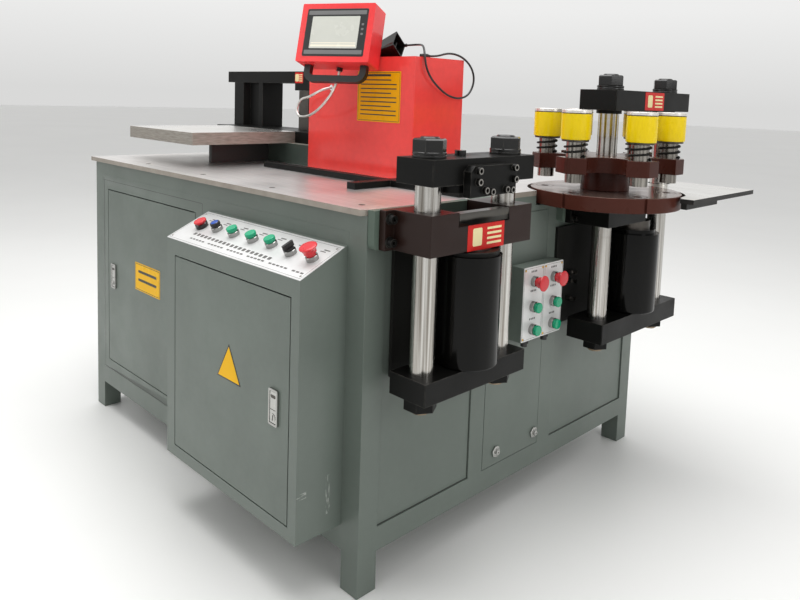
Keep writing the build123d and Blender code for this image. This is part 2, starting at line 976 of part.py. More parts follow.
def press_columns(column_x, column_ys, radius, plate_low, plate_high, beam_low, beam_high):
    """Columns with a shoulder against each beam and a threaded end through it."""
    turned_low = plate_low - nut_height - low_stub
    turned_high = beam_high + 2 * washer_height + nut_height + stub
    columns = []
    for y in column_ys:
        with BuildPart() as column:
            with BuildSketch(Plane(origin=(column_x, y, 0), x_dir=(1, 0, 0), z_dir=(0, -1, 0))):
                with BuildLine():
                    Polyline(
                        (0, turned_low),
                        (thread_radius - 3, turned_low),
                        (thread_radius, turned_low + 3),
                        (thread_radius, plate_high),
                        (radius, plate_high),
                        (radius, beam_low),
                        (thread_radius, beam_low),
                        (thread_radius, turned_high - 3),
                        (thread_radius - 3, turned_high),
                        (0, turned_high),
                        close=True,
                    )
                make_face()
            revolve(axis=Axis((column_x, y, 0), (0, 0, 1)))
        columns.append(column.part)
    return columns


def press_nuts(column_x, column_ys, plate_low, beam_high):
    """A nut with two washers on each column's top end, a nut on its lower end."""
    pieces = []
    for y in column_ys:
        for nut_low in (plate_low - nut_height, beam_high + 2 * washer_height):
            with BuildPart() as nut:
                with BuildSketch(Plane.XY.offset(nut_low)):
                    with Locations((column_x, y)):
                        RegularPolygon(nut_radius, 6)
                        Circle(thread_radius + seat, mode=Mode.SUBTRACT)
                extrude(amount=nut_height)
                chamfer(nut.faces().sort_by(Axis.Z)[-1].outer_wire().edges(), 3)
            pieces.append(nut.part)
        for number in range(2):
            with BuildPart() as washer:
                with BuildSketch(Plane.XY.offset(beam_high + number * washer_height)):
                    with Locations((column_x, y)):
                        Circle(washer_radius)
                        Circle(thread_radius + seat, mode=Mode.SUBTRACT)
                extrude(amount=washer_height)
                chamfer(washer.edges().filter_by(GeomType.CIRCLE).sort_by(SortBy.RADIUS)[-2:], 1)
            pieces.append(washer.part)
    return pieces


def barrel(x, y, radius, low_z, high_z, flange_height):
    """A cylinder barrel with its bore, rounded foot and gland flange."""
    with BuildPart() as tube:
        round_bar(x, y, low_z, high_z, radius)
        fillet(tube.faces().sort_by(Axis.Z)[0].edges(), 6)
        if flange_height:
            round_bar(x, y, high_z, high_z + flange_height, gland_flange_radius)
        round_bar(x, y, low_z + barrel_floor, high_z + flange_height, rod_radius + gap, Mode.SUBTRACT)
    return tube.part


shear_top = press_beam(
    shear_back,
    shear_front,
    shear_y - shear_half,
    shear_y + shear_half,
    shear_top_low,
    shear_top_high,
    shear_column_x,
    shear_column_ys,
)
shear_bottom = press_beam(
    shear_back,
    shear_front,
    shear_y - shear_half,
    shear_y + shear_half,
    shear_plate_low,
    shear_plate_high,
    shear_column_x,
    shear_column_ys,
)
with BuildPart() as hold_down:
    round_bar(side_x + 100, hold_down_y, hold_down_low, shear_top_low, hold_down_radius)
# Upper blade: its cutting edge rises along the cut, its top corners are taken off
blade_low_y = shear_y - blade_half
blade_high_y = shear_y + blade_half
with BuildPart() as upper_blade:
    with BuildSketch(Plane.YZ.offset(shear_front)):
        with BuildLine():
            Polyline(
                (blade_low_y, blade_low),
                (blade_high_y, blade_low + blade_rake),
                (blade_high_y, blade_high - blade_corner),
                (blade_high_y - blade_corner, blade_high),
                (blade_low_y + blade_corner, blade_high),
                (blade_low_y, blade_high - blade_corner),
                close=True,
            )
        make_face()
    extrude(amount=blade_thick)
press_pieces = [shear_top, shear_bottom, hold_down.part, upper_blade.part]
shear_columns = press_columns(
    shear_column_x,
    shear_column_ys,
    shear_column_radius,
    shear_plate_low,
    shear_plate_high,
    shear_top_low,
    shear_top_high,
)
save(Compound(children=shear_columns), "shear_columns")
save(
    barrel(shear_barrel_x, shear_y, shear_barrel_radius, shear_plate_high, shear_barrel_high, 0),
    "shear_barrel",
)

# Nuts, blade screws and guide screws of the shearing press
blade_screw_spots = [
    (front_y + 154, 938),
    (front_y + 154, 915),
    (front_y + 176, 897),
    (front_y + 196, 893),
    (front_y + 245, 895),
    (front_y + 264, 893),
    (front_y + 273, 940),
    (front_y + 274, 915),
]
screws = press_nuts(shear_column_x, shear_column_ys, shear_plate_low, shear_top_high)
for spot in blade_screw_spots:
    with BuildPart() as blade_screw:
        with BuildSketch(Plane.YZ.offset(shear_front + blade_thick)):
            with Locations(spot):
                Circle(blade_screw_radius)
                RegularPolygon(blade_screw_radius / 2, 6, mode=Mode.SUBTRACT)
        extrude(amount=blade_screw_head)
    screws.append(blade_screw.part)
with BuildPart() as top_screw:
    round_bar(side_x + 87, front_y + 181, shear_top_high, shear_top_high + top_screw_head, top_screw_radius)
screws.append(top_screw.part)
save(Compound(children=[*press_pieces, *screws]), "shear_press_beams")

punch_top = press_beam(
    punch_back,
    punch_front,
    punch_low_y,
    punch_high_y,
    punch_top_low,
    punch_top_high,
    turret_x,
    punch_column_ys,
)
punch_bottom = press_beam(
    punch_back,
    punch_front,
    punch_low_y,
    punch_high_y,
    punch_plate_low,
    punch_plate_high,
    turret_x,
    punch_column_ys,
)
punch_columns = press_columns(
    turret_x,
    punch_column_ys,
    punch_column_radius,
    punch_plate_low,
    punch_plate_high,
    punch_top_low,
    punch_top_high,
)
save(Compound(children=punch_columns), "punch_columns")
save(
    barrel(
        punch_barrel_x,
        slug_y,
        punch_barrel_radius,
        punch_plate_high,
        punch_barrel_high,
        gland_flange_height,
    ),
    "punch_barrel",
)
punch_nuts = press_nuts(turret_x, punch_column_ys, punch_plate_low, punch_top_high)
for y in punch_column_ys:
    with BuildPart() as under_collar:
        with BuildSketch(Plane.XY.offset(punch_top_low - under_collar_height)):
            with Locations((turret_x, y)):
                Circle(under_collar_radius)
                Circle(punch_column_radius + seat, mode=Mode.SUBTRACT)
        extrude(amount=under_collar_height)
    punch_nuts.append(under_collar.part)
save(Compound(children=[punch_top, punch_bottom, *punch_nuts]), "punch_press_beams")

# Turret: six stations round the near column, the first one under the punching beam
station_angles = [90 + 360 / station_count * number for number in range(station_count)]
stations = [
    (
        turret_x + punch_circle * math.cos(math.radians(angle)),
        turret_y + punch_circle * math.sin(math.radians(angle)),
    )
    for angle in station_angles
]
turret_bore = punch_column_radius + 2 * gap
with BuildPart() as die_disc:
    with BuildSketch(Plane.XY.offset(disc_low)):
        with Locations((turret_x, turret_y)):
            Circle(disc_radius)
            Circle(turret_bore, mode=Mode.SUBTRACT)
            with PolarLocations(disc_radius, station_count, start_angle=90):
                Rectangle(2 * rim_notch_depth, rim_notch_width, mode=Mode.SUBTRACT)
        with Locations(*stations):
            Circle(slug_radius, mode=Mode.SUBTRACT)
    extrude(amount=disc_high - disc_low)
    for x, y in stations:
        round_bar(x, y, disc_high - die_depth, disc_high, die_radius + seat, Mode.SUBTRACT)
dies = []
for x, y in stations:
    with BuildPart() as die:
        with BuildSketch(Plane.XY.offset(disc_high - die_depth)):
            with Locations((x, y)):
                Circle(die_radius)
                Circle(die_hole_radius, mode=Mode.SUBTRACT)
        extrude(amount=die_depth)
    dies.append(die.part)
save(Compound(children=[die_disc.part, *dies]), "die_disc")

with BuildPart() as carrier:
    with BuildSketch(Plane.XY.offset(carrier_low)):
        with Locations((turret_x, turret_y)):
            RegularPolygon(carrier_flat, station_count, major_radius=False, rotation=30)
            Circle(carrier_corner, mode=Mode.INTERSECT)
            with PolarLocations(scallop_centre, station_count):
                Circle(scallop_radius, mode=Mode.SUBTRACT)
            Circle(turret_bore, mode=Mode.SUBTRACT)
        with Locations(*stations):
            Circle(guide_radius + seat, mode=Mode.SUBTRACT)
    extrude(amount=carrier_high - carrier_low)
    with BuildSketch(Plane.XY.offset(disc_high)):
        with Locations((turret_x, turret_y)):
            Circle(neck_radius)
            Circle(turret_bore, mode=Mode.SUBTRACT)
    extrude(amount=carrier_low - disc_high)
guides = []
for x, y in stations:
    with BuildPart() as guide:
        with BuildSketch(Plane.XY.offset(guide_low)):
            with Locations((x, y)):
                Circle(guide_radius)
                Circle(punch_stem_radius + gap, mode=Mode.SUBTRACT)
        extrude(amount=guide_high - guide_low)
    guides.append(guide.part)
save(carrier.part, "turret_carrier")
save(Compound(children=guides), "punch_guides")

# Return springs: a black coil spring under a washer, and a yellow urethane spring
cap_low = punch_top_low - gap - cap_disc_height
spring_bore = guide_radius + 1
springs = []
for x, y in stations:
    with BuildPart() as coil:
        with BuildSketch(Plane.XY.offset(carrier_high)):
            with Locations((x, y)):
                Circle(coil_outer_radius)
                Circle(spring_bore, mode=Mode.SUBTRACT)
        extrude(amount=urethane_low - carrier_high)
        with BuildSketch(Plane.XY.offset(urethane_low - 4)):
            with Locations((x, y)):
                Circle(cap_disc_radius - 3)
                Circle(spring_bore, mode=Mode.SUBTRACT)
        extrude(amount=4)
    with BuildPart() as urethane:
        with BuildSketch(Plane.XY.offset(urethane_low)):
            with Locations((x, y)):
                Circle(cap_disc_radius)
                Circle(spring_bore, mode=Mode.SUBTRACT)
        extrude(amount=cap_low - urethane_low)
    springs += [coil.part, urethane.part]
save(Compound(children=springs), "turret_springs")

# Punches: cap, stem in its guide and the punching tip
tip_top = guide_low + 1 + punch_tip_length
for number, (x, y) in enumerate(stations, start=1):
    with BuildPart() as punch:
        round_bar(x, y, cap_low, cap_low + cap_disc_height, cap_disc_radius)
        fillet(punch.faces().sort_by(Axis.Z)[-1].edges(), 2)
        round_bar(x, y, tip_top, cap_low, punch_stem_radius)
        round_bar(x, y, guide_low + 1, tip_top, punch_tip_radius)
    punch.part.label = f"punch_{number}"
    export_step(punch.part, f"parts/punch_{number}.step")

# Table extension beside the turret, on two bars that stand out of the station's plate
extension_low = table_z - extension_thick
extension_right = side_x + extension_reach
with BuildPart() as extension_plate:
    with BuildSketch(Plane.XY.offset(extension_low)):
        with BuildLine():
            Polyline(
                (side_x + gap, extension_low_y),
                (extension_right, extension_low_y),
                (extension_right, extension_high_y),
                (side_x + gap, extension_high_y),
                close=True,
            )
        make_face()
        with Locations((turret_x, turret_y)):
            Circle(disc_radius + disc_room, mode=Mode.SUBTRACT)
        with Locations((turret_x, punch_far_y)):
            Circle(punch_column_radius + 5, mode=Mode.SUBTRACT)
        with Locations((extension_right - 45, extension_low_y + 60)):
            SlotOverall(95, 10, rotation=100)
    extrude(amount=extension_thick)
extension_plate.part.label = "extension_plate"
export_step(extension_plate.part, "parts/extension_plate.step")
rest_left = side_x + station_plate
rest_right = side_x + rest_reach
rest_low = extension_low - rest_drop
disc_end_y = turret_y + disc_radius + disc_room
with BuildPart() as rests:
    for low_y in (disc_end_y + 17, punch_high_y - rest_width + leg_wall):
        block(rest_left, rest_right, low_y, low_y + rest_width, rest_low, extension_low)
    block(lip_left, lip_left + lip_width, extension_low_y + 3, disc_end_y, extension_low - lip_width, extension_low)
station_plates += rests.part.solids()
save(Compound(children=station_plates), "station_plates")

# Bending station
with BuildPart() as bender_base:
    block(base_left, base_right, base_low_y, base_high_y, table_z, bend_bed_low)
    block(
        base_left + base_wall,
        base_right - base_wall,
        base_low_y + base_wall,
        base_high_y - base_wall,
        table_z,
        bend_bed_low - base_wall,
        Mode.SUBTRACT,
    )
bender_base.part.label = "bender_base"
export_step(bender_base.part, "parts/bender_base.step")

with BuildPart() as bender_bed:
    block(bend_bed_left, bend_bed_right, bend_bed_low_y, base_high_y, bend_bed_low, bend_z)
die_post_right = bend_bed_left + die_post_width
with BuildPart() as die_post:
    with BuildSketch(Plane.XY.offset(bend_z)):
        recess_left = bend_bed_left + die_post_strip
        recess_right = recess_left + die_post_recess
        recess_y = portal_low_y + die_post_recess_depth
        with BuildLine():
            Polyline(
                (bend_bed_left, portal_low_y),
                (recess_left, portal_low_y),
                (recess_left + 10, recess_y),
                (recess_right - 10, recess_y),
                (recess_right, portal_low_y),
                (die_post_right, portal_low_y),
                (die_post_right, base_high_y),
                (bend_bed_left, base_high_y),
                close=True,
            )
        make_face()
    extrude(amount=tie_low - bend_z)
with BuildPart() as tie_beam:
    block(tie_left, tie_right, portal_low_y, base_high_y, tie_low, tie_high)
    # Guide over the ram's head
    block(
        ram_left - 20,
        ram_left + ram_width,
        portal_low_y,
        base_high_y,
        tie_low - ram_guide_height,
        tie_low,
    )
cylinder_y = (portal_low_y + base_high_y) / 2
flange_left = tie_right - flange_width
with BuildPart() as cylinder:
    block(flange_left, tie_right, portal_low_y, base_high_y, bend_z, tie_low)
    with BuildSketch(Plane.YZ.offset(tie_right)):
        with Locations((cylinder_y, cylinder_z)):
            Circle(cylinder_radius - gap)
    extrude(amount=cylinder_length)
    with BuildSketch(Plane.YZ.offset(flange_left)):
        with Locations((cylinder_y, cylinder_z)):
            Circle(ram_rod_radius + gap)
    extrude(amount=flange_width + cylinder_length - base_wall, mode=Mode.SUBTRACT)
save(
    Compound(children=[bender_bed.part, die_post.part, tie_beam.part, cylinder.part]),
    "bender_frame",
)

with BuildPart() as bending_plate:
    block(bend_plate_left, bend_plate_right, bend_plate_low_y, bend_bed_low_y, bend_bed_low, bend_z)
with BuildPart() as web_plate:
    block(web_left, web_left + web_thick, web_low_y, web_low_y + web_length, table_z, bend_bed_low)
save(Compound(children=[bending_plate.part, web_plate.part]), "bending_table")

# The ram: a die head between bed and guide, on the rod of the cylinder
with BuildPart() as bender_ram:
    head_right = ram_left + ram_width
    block(
        ram_left,
        head_right,
        portal_low_y,
        base_high_y,
        bend_z + gap,
        tie_low - ram_guide_height - gap,
    )
    nose = bender_ram.edges().filter_by(Axis.Z).group_by(Axis.X)[0]
    fillet(nose, 8)
    with BuildSketch(Plane.YZ.offset(head_right)):
        with Locations((cylinder_y, cylinder_z)):
            Circle(ram_rod_radius)
    extrude(amount=tie_right + ram_stroke + ram_rod_overlap - head_right)
bender_ram.part.label = "bender_ram"
export_step(bender_ram.part, "parts/bender_ram.step")

# Red cover, its near end wall cut out round the bending unit
hose_hole_x = cover_left + 110
hose_hole_z = 1103
with BuildPart() as cover_shell:
    block(cover_left, cover_right, cover_low_y, cover_high_y, table_z, cover_high)
    fillet(cover_shell.edges().filter_by(Axis.Z), 4)
    block(
        cover_left + sheet,
        cover_right - sheet,
        cover_low_y + sheet,
        cover_high_y - sheet,
        table_z,
        cover_high - sheet,
        Mode.SUBTRACT,
    )
    block(
        cover_left,
        cover_left + 2 * sheet,
        cover_low_y + sheet,
        cover_high_y - sheet,
        table_z,
        bend_bed_low + sheet,
        Mode.SUBTRACT,
    )
    block(
        cover_left,
        cover_left + 2 * sheet,
        cover_low_y + cover_strip,
        cover_high_y - sheet,
        table_z,
        tie_high + sheet,
        Mode.SUBTRACT,
    )
    with BuildSketch(Plane.XZ.offset(-cover_low_y - sheet)):
        with Locations((hose_hole_x, hose_hole_z)):
            Circle(9)
    extrude(amount=sheet, mode=Mode.SUBTRACT)

# Operator screen: a tilted red box that swivels on a post
yaw = math.radians(screen_yaw)
tilt = math.radians(screen_tilt)
screen_right = (math.cos(yaw), math.sin(yaw), 0)
screen_out = (
    math.cos(tilt) * math.sin(yaw),
    -math.cos(tilt) * math.cos(yaw),
    math.sin(tilt),
)
screen_face = Plane(origin=(screen_x, screen_y, screen_z), x_dir=screen_right, z_dir=screen_out)
screen_back = screen_face.offset(-screen_depth).origin
swivel_x = screen_back.X - swivel_reach * math.sin(yaw)
swivel_y = screen_back.Y + swivel_reach * math.cos(yaw)
swivel_low = screen_back.Z - swivel_sleeve_height / 2
swivel_high = swivel_low + swivel_sleeve_height
print("swivel axis", swivel_x, swivel_y)

with BuildPart() as swivel_post:
    round_bar(swivel_x, swivel_y, cover_high, cover_high + swivel_base_height, swivel_base_radius)
    round_bar(swivel_x, swivel_y, cover_high + swivel_base_height, swivel_low - gap, swivel_sleeve_radius)
    round_bar(swivel_x, swivel_y, swivel_low - gap, swivel_high + 4, swivel_pin_radius)
save(Compound(children=[cover_shell.part, swivel_post.part]), "red_cover")

with BuildPart() as screen_box:
    with BuildSketch(screen_face):
        RectangleRounded(screen_width, screen_height, 4)
    extrude(amount=-screen_depth)
    with BuildSketch(screen_face):
        RectangleRounded(bezel_width + 2 * seat, bezel_height + 2 * seat, 5 + seat)
    extrude(amount=-bezel_thick, mode=Mode.SUBTRACT)
    arm_plane = Plane(
        origin=(swivel_x, swivel_y, screen_back.Z),
        x_dir=screen_right,
        z_dir=(math.sin(yaw), -math.cos(yaw), 0),
    )
    with BuildSketch(arm_plane.offset(swivel_sleeve_radius - 4)):
        Rectangle(26, swivel_sleeve_height - 10)
    extrude(amount=swivel_reach - swivel_sleeve_radius + 14)
    round_bar(swivel_x, swivel_y, swivel_low, swivel_high, swivel_sleeve_radius)
    bore = swivel_pin_radius + gap
    round_bar(swivel_x, swivel_y, swivel_low, swivel_high, bore, Mode.SUBTRACT)
with BuildPart() as screen_bezel:
    with BuildSketch(screen_face.offset(-bezel_thick)):
        RectangleRounded(bezel_width, bezel_height, 5)
    extrude(amount=bezel_thick + 1)
    chamfer(screen_bezel.faces().sort_by(Axis(screen_face.origin, screen_face.z_dir))[-1].edges(), 0.8)

# The U handle and the cable gland under the box
under_plane = Plane(
    origin=screen_face.from_local_coords((0, -screen_height / 2, -screen_depth / 2)),
    x_dir=screen_right,
    z_dir=-screen_face.y_dir,
)
gland_spot = (0, -gland_back)
with BuildPart() as screen_handle:
    handle_face = Plane(origin=under_plane.origin, x_dir=screen_right, z_dir=screen_face.z_dir)
    with BuildSketch(handle_face.offset(-handle_radius)):
        with BuildLine():
            FilletPolyline(
                (-handle_half, 0),
                (-handle_half, -handle_drop),
                (handle_half, -handle_drop),
                (handle_half, 0),
                radius=handle_bend,
            )
            offset(amount=handle_radius, kind=Kind.ARC, side=Side.BOTH, closed=True)
        make_face()
        with Locations((0, handle_radius + 50)):
            Rectangle(3 * handle_half, 100, mode=Mode.SUBTRACT)
    extrude(amount=2 * handle_radius)
with BuildPart() as screen_gland:
    with BuildSketch(under_plane):
        with Locations(gland_spot):
            RegularPolygon(gland_radius, 6)
    extrude(amount=gland_length)
screen_pieces = [screen_box.part, screen_bezel.part, screen_handle.part, screen_gland.part]
save(Compound(children=screen_pieces), "operator_screen")


# Screws of the table, of the stations' ears and of the fence bars
with BuildPart() as table_screws:
    for x, y in screw_spots:
        round_bar(x, y, table_z - screw_radius, table_z - 1, screw_radius - seat)
    for x in (fence_left + 60, (fence_left + cross_left) / 2, fence_right - 60):
        round_bar(x, fence_low_y + fence_width / 2, table_z + bar_height, table_z + bar_height + 1, 6)
shear_ear_spots = [(y, z) for y in (shear_ear_low + 12, shear_ear_high - 12) for z in (786, 834)]
punch_ear_spots = [
    (y, z)
    for y in (punch_ear_low + punch_ear / 2, punch_ear_high - punch_ear / 2)
    for z in (bed_low + 14, bed_high - 16)
]


def ear_screw(spot, head_radius, washer_fit):
    """A socket screw and its washer on a fixed beam's ear."""
    with BuildPart() as screw:
        with BuildSketch(Plane.YZ.offset(ear_screw_x)):
            with Locations(spot):
                Circle(washer_fit)
        extrude(amount=ear_washer)
        with BuildSketch(Plane.YZ.offset(ear_screw_x + ear_washer)):
            with Locations(spot):
                Circle(head_radius)
                RegularPolygon(head_radius / 2, 6, mode=Mode.SUBTRACT)
        extrude(amount=ear_head)
    return screw.part


ear_screws = [ear_screw(spot, ear_screw_radius, ear_washer_radius - gap) for spot in shear_ear_spots]
ear_screws += [ear_screw(spot, ear_screw_radius - 3, punch_ear / 2 - gap) for spot in punch_ear_spots]
save(Compound(children=[*table_screws.part.solids(), *ear_screws]), "fixed_screws")


def from_edges(points):
    """Turns points measured from beside the cover and the front into the model's frame."""
    return [(cover_right + cord_reach + x, front_y + y, z) for x, y, z in points]


# The foot switch's cord: across the cover, down beside it in one loop and back to its plug
foot_route = from_edges(
    [
        (-421, 518, 1230.5),
        (-396, 526, 1232),
        (-366, 520, 1231),
        (-339, 501, 1226),
        (-316, 482, 1213),
        (-302, 471, 1190),
        (-299, 476, 1161),
        (-299, 496, 1134),
        (-299, 529, 1109),
        (-299, 570, 1088),
        (-299, 616, 1081),
        (-299, 656, 1091),
        (-299, 679, 1122),
        (-299, 679, 1154),
        (-301, 660, 1183),
        (-310, 630, 1205),
        (-324, 592, 1212),
        (-338, 556, 1199.1),
        (-345, 529, 1199.1),
    ]
)
# Foot switch: a four-sided hood that widens to its mouth, lying on one long corner
half_mouth = switch_mouth / math.sqrt(2)
half_back = switch_back / math.sqrt(2)
switch_pitch = math.atan((half_mouth - half_back) / switch_length)
switch_yaw = math.radians(switch_turn)
switch_out = Vector(
    math.cos(switch_pitch) * math.cos(switch_yaw),
    math.cos(switch_pitch) * math.sin(switch_yaw),
    math.sin(switch_pitch),
)
switch_across = Vector(-math.sin(switch_yaw), math.cos(switch_yaw), 0)
switch_up = switch_out.cross(switch_across)
mouth_z = cover_high + half_mouth * math.cos(switch_pitch) + seat
mouth = Plane(
    origin=(switch_x, switch_y, mouth_z),
    x_dir=switch_across + switch_up,
    z_dir=switch_out,
)
with BuildPart() as foot_switch:
    with BuildSketch(mouth.offset(-switch_length)):
        Rectangle(switch_back, switch_back)
    with BuildSketch(mouth):
        Rectangle(switch_mouth, switch_mouth)
    loft()
    floor_depth = switch_length - 2 * switch_wall
    taper = (switch_mouth - switch_back) / switch_length
    inner_back = switch_back + taper * 2 * switch_wall - 2 * switch_wall
    with BuildSketch(mouth.offset(-floor_depth)):
        Rectangle(inner_back, inner_back)
    with BuildSketch(mouth):
        Rectangle(switch_mouth - 2 * switch_wall, switch_mouth - 2 * switch_wall)
    loft(mode=Mode.SUBTRACT)
    # Ears inside the hood carry the pedal's pin
    ear_span = switch_mouth - taper * ear_depth - switch_wall
    with BuildSketch(mouth.offset(-ear_depth - 4)):
        with Locations((-ear_span / 2 + 2.5, 0), (ear_span / 2 - 2.5, 0)):
            Rectangle(4, 10)
    extrude(amount=8)
    pin_place = mouth.offset(-ear_depth).location
    with Locations(pin_place):
        Cylinder(pedal_pin + gap, ear_span, rotation=(0, 90, 0), mode=Mode.SUBTRACT)
    # Strain relief beside the corner where the cord leaves
    with BuildSketch(Plane(origin=foot_route[0], z_dir=Vector(*foot_route[1]) - Vector(*foot_route[0]))):
        Circle(relief_radius)
    extrude(amount=-relief_length)
foot_switch.part.label = "foot_switch"
export_step(foot_switch.part, "parts/foot_switch.step")
print("pedal pin", mouth.offset(-ear_depth).origin, mouth.x_dir)

with BuildPart() as foot_pedal:
    pedal_width = ear_span - 9 - 2 * pedal_gap
    with BuildSketch(mouth.offset(-ear_depth)):
        Rectangle(pedal_width, pedal_thick)
    extrude(amount=ear_depth - 10)
    with Locations(pin_place):
        Cylinder(pedal_pin, ear_span - 2 * switch_wall + 1, rotation=(0, 90, 0))
foot_pedal.part.label = "foot_pedal"
export_step(foot_pedal.part, "parts/foot_pedal.step")


def cord_tube(points, radius):
    """A cord's tube along straight runs joined by arcs as large as the runs allow."""
    runs = [Vector(*after) - Vector(*before) for before, after in zip(points, points[1:])]
    bends = []
    for run, following in zip(runs, runs[1:]):
        half_turn = math.radians(run.get_angle(following)) / 2
        bends.append(0.45 * min(run.length, following.length) / math.tan(half_turn))
    print("cord radii", [round(bend) for bend in bends], "runs", [round(run.length) for run in runs])
    with BuildPart() as tube:
        with BuildLine() as route:
            FilletPolyline(*points, radius=bends)
        with BuildSketch(Plane(origin=route.line @ 0, z_dir=route.line % 0)):
            Circle(radius)
        sweep()
    length = sum(edge.length for edge in route.edges())
    print("cord length", round(length), "fill", tube.part.volume / (length * math.pi * radius**2))
    return tube.part


# The foot switch's cord and its plug
foot_tube = cord_tube(foot_route, foot_cord_radius)
plug_plane = Plane(
    origin=foot_route[-1],
    z_dir=Vector(*foot_route[-1]) - Vector(*foot_route[-2]),
)
with BuildPart() as foot_plug:
    with BuildSketch(plug_plane):
        Circle(2 * foot_cord_radius)
    extrude(amount=plug_length)
save(Compound(children=[foot_tube, foot_plug.part]), "foot_cord")

# The screen's armoured hose: down from its gland, round a loop, into the cover's front
hose_start = under_plane.from_local_coords((*gland_spot, gland_length))
hose_next = under_plane.from_local_coords((*gland_spot, gland_length + 19))
hose_route = [
    (hose_start.X, hose_start.Y, hose_start.Z),
    (hose_next.X, hose_next.Y, hose_next.Z),
    *from_edges(
        [
            (-542, 355, 1108),
            (-560, 357, 1085),
            (-589, 362, 1064),
            (-624, 370, 1044),
            (-663, 378, 1027),
            (-703, 387, 1015),
            (-741, 395, 1010),
            (-774, 401, 1010),
            (-791, 405, 1026),
            (-791, 409, 1050),
            (-774, 412, 1066),
            (-747, 413, 1070),
            (-720, 411, 1078),
            (-694, 411, 1088),
            (-673, 420, 1098),
            (-665, 442, 1103),
        ]
    ),
]
save(cord_tube(hose_route, hose_radius), "screen_hose")
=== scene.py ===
import bpy
import bmesh
import math
from mathutils import Matrix, Vector


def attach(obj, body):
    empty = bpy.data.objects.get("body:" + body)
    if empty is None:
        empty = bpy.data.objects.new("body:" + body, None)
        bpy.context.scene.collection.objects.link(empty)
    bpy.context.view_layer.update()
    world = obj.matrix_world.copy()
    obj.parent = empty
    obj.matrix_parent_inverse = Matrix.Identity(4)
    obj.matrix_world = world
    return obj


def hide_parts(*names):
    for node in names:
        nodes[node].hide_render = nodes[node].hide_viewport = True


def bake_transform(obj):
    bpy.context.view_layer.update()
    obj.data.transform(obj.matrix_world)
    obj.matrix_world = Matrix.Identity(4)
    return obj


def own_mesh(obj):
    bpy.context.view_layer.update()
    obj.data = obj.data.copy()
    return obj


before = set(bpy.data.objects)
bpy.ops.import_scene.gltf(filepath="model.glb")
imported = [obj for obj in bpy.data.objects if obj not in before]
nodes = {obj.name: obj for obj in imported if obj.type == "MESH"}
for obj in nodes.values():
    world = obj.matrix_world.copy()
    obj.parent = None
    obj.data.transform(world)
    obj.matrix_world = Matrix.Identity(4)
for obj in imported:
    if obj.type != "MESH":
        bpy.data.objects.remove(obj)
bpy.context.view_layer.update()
scene = bpy.context.scene

# Places are given in millimetres from the cabinet's two near faces and the floor.
SIDE = 27.5
FRONT = -27.5
X = Vector((1, 0, 0))
Y = Vector((0, 1, 0))
Z = Vector((0, 0, 1))
# The directions of a flat shape: along, up and out of the face that it lies on
FRONT_FACE = (X, Z, -Y)
SIDE_FACE = (Y, Z, X)


def at(x, y, z):
    """A place in the model's metres."""
    return Vector(((x + SIDE) / 1000, (y + FRONT) / 1000, z / 1000))


def places(points):
    return [at(*p) for p in points]


# Camera at the photograph's place
def camera_axes(yaw, pitch, roll):
    y, p, r = (math.radians(a) for a in (yaw, pitch, roll))
    ahead = Vector((-math.sin(y) * math.cos(p), math.cos(y) * math.cos(p), -math.sin(p)))
    right = Vector((math.cos(y), math.sin(y), 0))
    up = right.cross(ahead)
    return (math.cos(r) * right + math.sin(r) * up, math.cos(r) * up - math.sin(r) * right,
            -ahead)


camera = bpy.data.objects.new("camera", bpy.data.cameras.new("camera"))
scene.collection.objects.link(camera)
right, up, back = camera_axes(yaw=45.1, pitch=5.7, roll=1.9)
turn = Matrix((right, up, back)).transposed().to_4x4()
camera.matrix_world = Matrix.Translation(at(1089.15, -991.44, 1081.15)) @ turn
camera.data.sensor_fit = "HORIZONTAL"
camera.data.sensor_width = 36
camera.data.lens = 32.836
camera.data.shift_x = -0.0019
camera.data.shift_y = -0.1626
camera.data.clip_end = 60
scene.camera = camera


# Colours are written as they show, 0 to 255
def tone(r, g, b):
    parts = [c / 255 for c in (r, g, b)]
    linear = (c / 12.92 if c <= 0.04045 else ((c + 0.055) / 1.055) ** 2.4 for c in parts)
    return (*linear, 1.0)


def scaled(rgb, k):
    return tone(*(min(255, c * k) for c in rgb))


def around(rgb, spread):
    """A darker and a lighter tone of one colour."""
    return scaled(rgb, 1 - spread), scaled(rgb, 1 + spread)


# Most values of a noise lie between these two
NOISE_LOW, NOISE_HIGH = 0.3, 0.7
# The share of the small clouds in a colour
FINE_SHARE = 0.35
# A face is a top where its normal's height is over this
TOP_SLOPE = 0.7
# The sockets of a mix node, for colours and for numbers
COLOUR_A, COLOUR_B, COLOUR_OUT = 6, 7, 2
NUMBER_A, NUMBER_B, NUMBER_OUT = 2, 3, 0


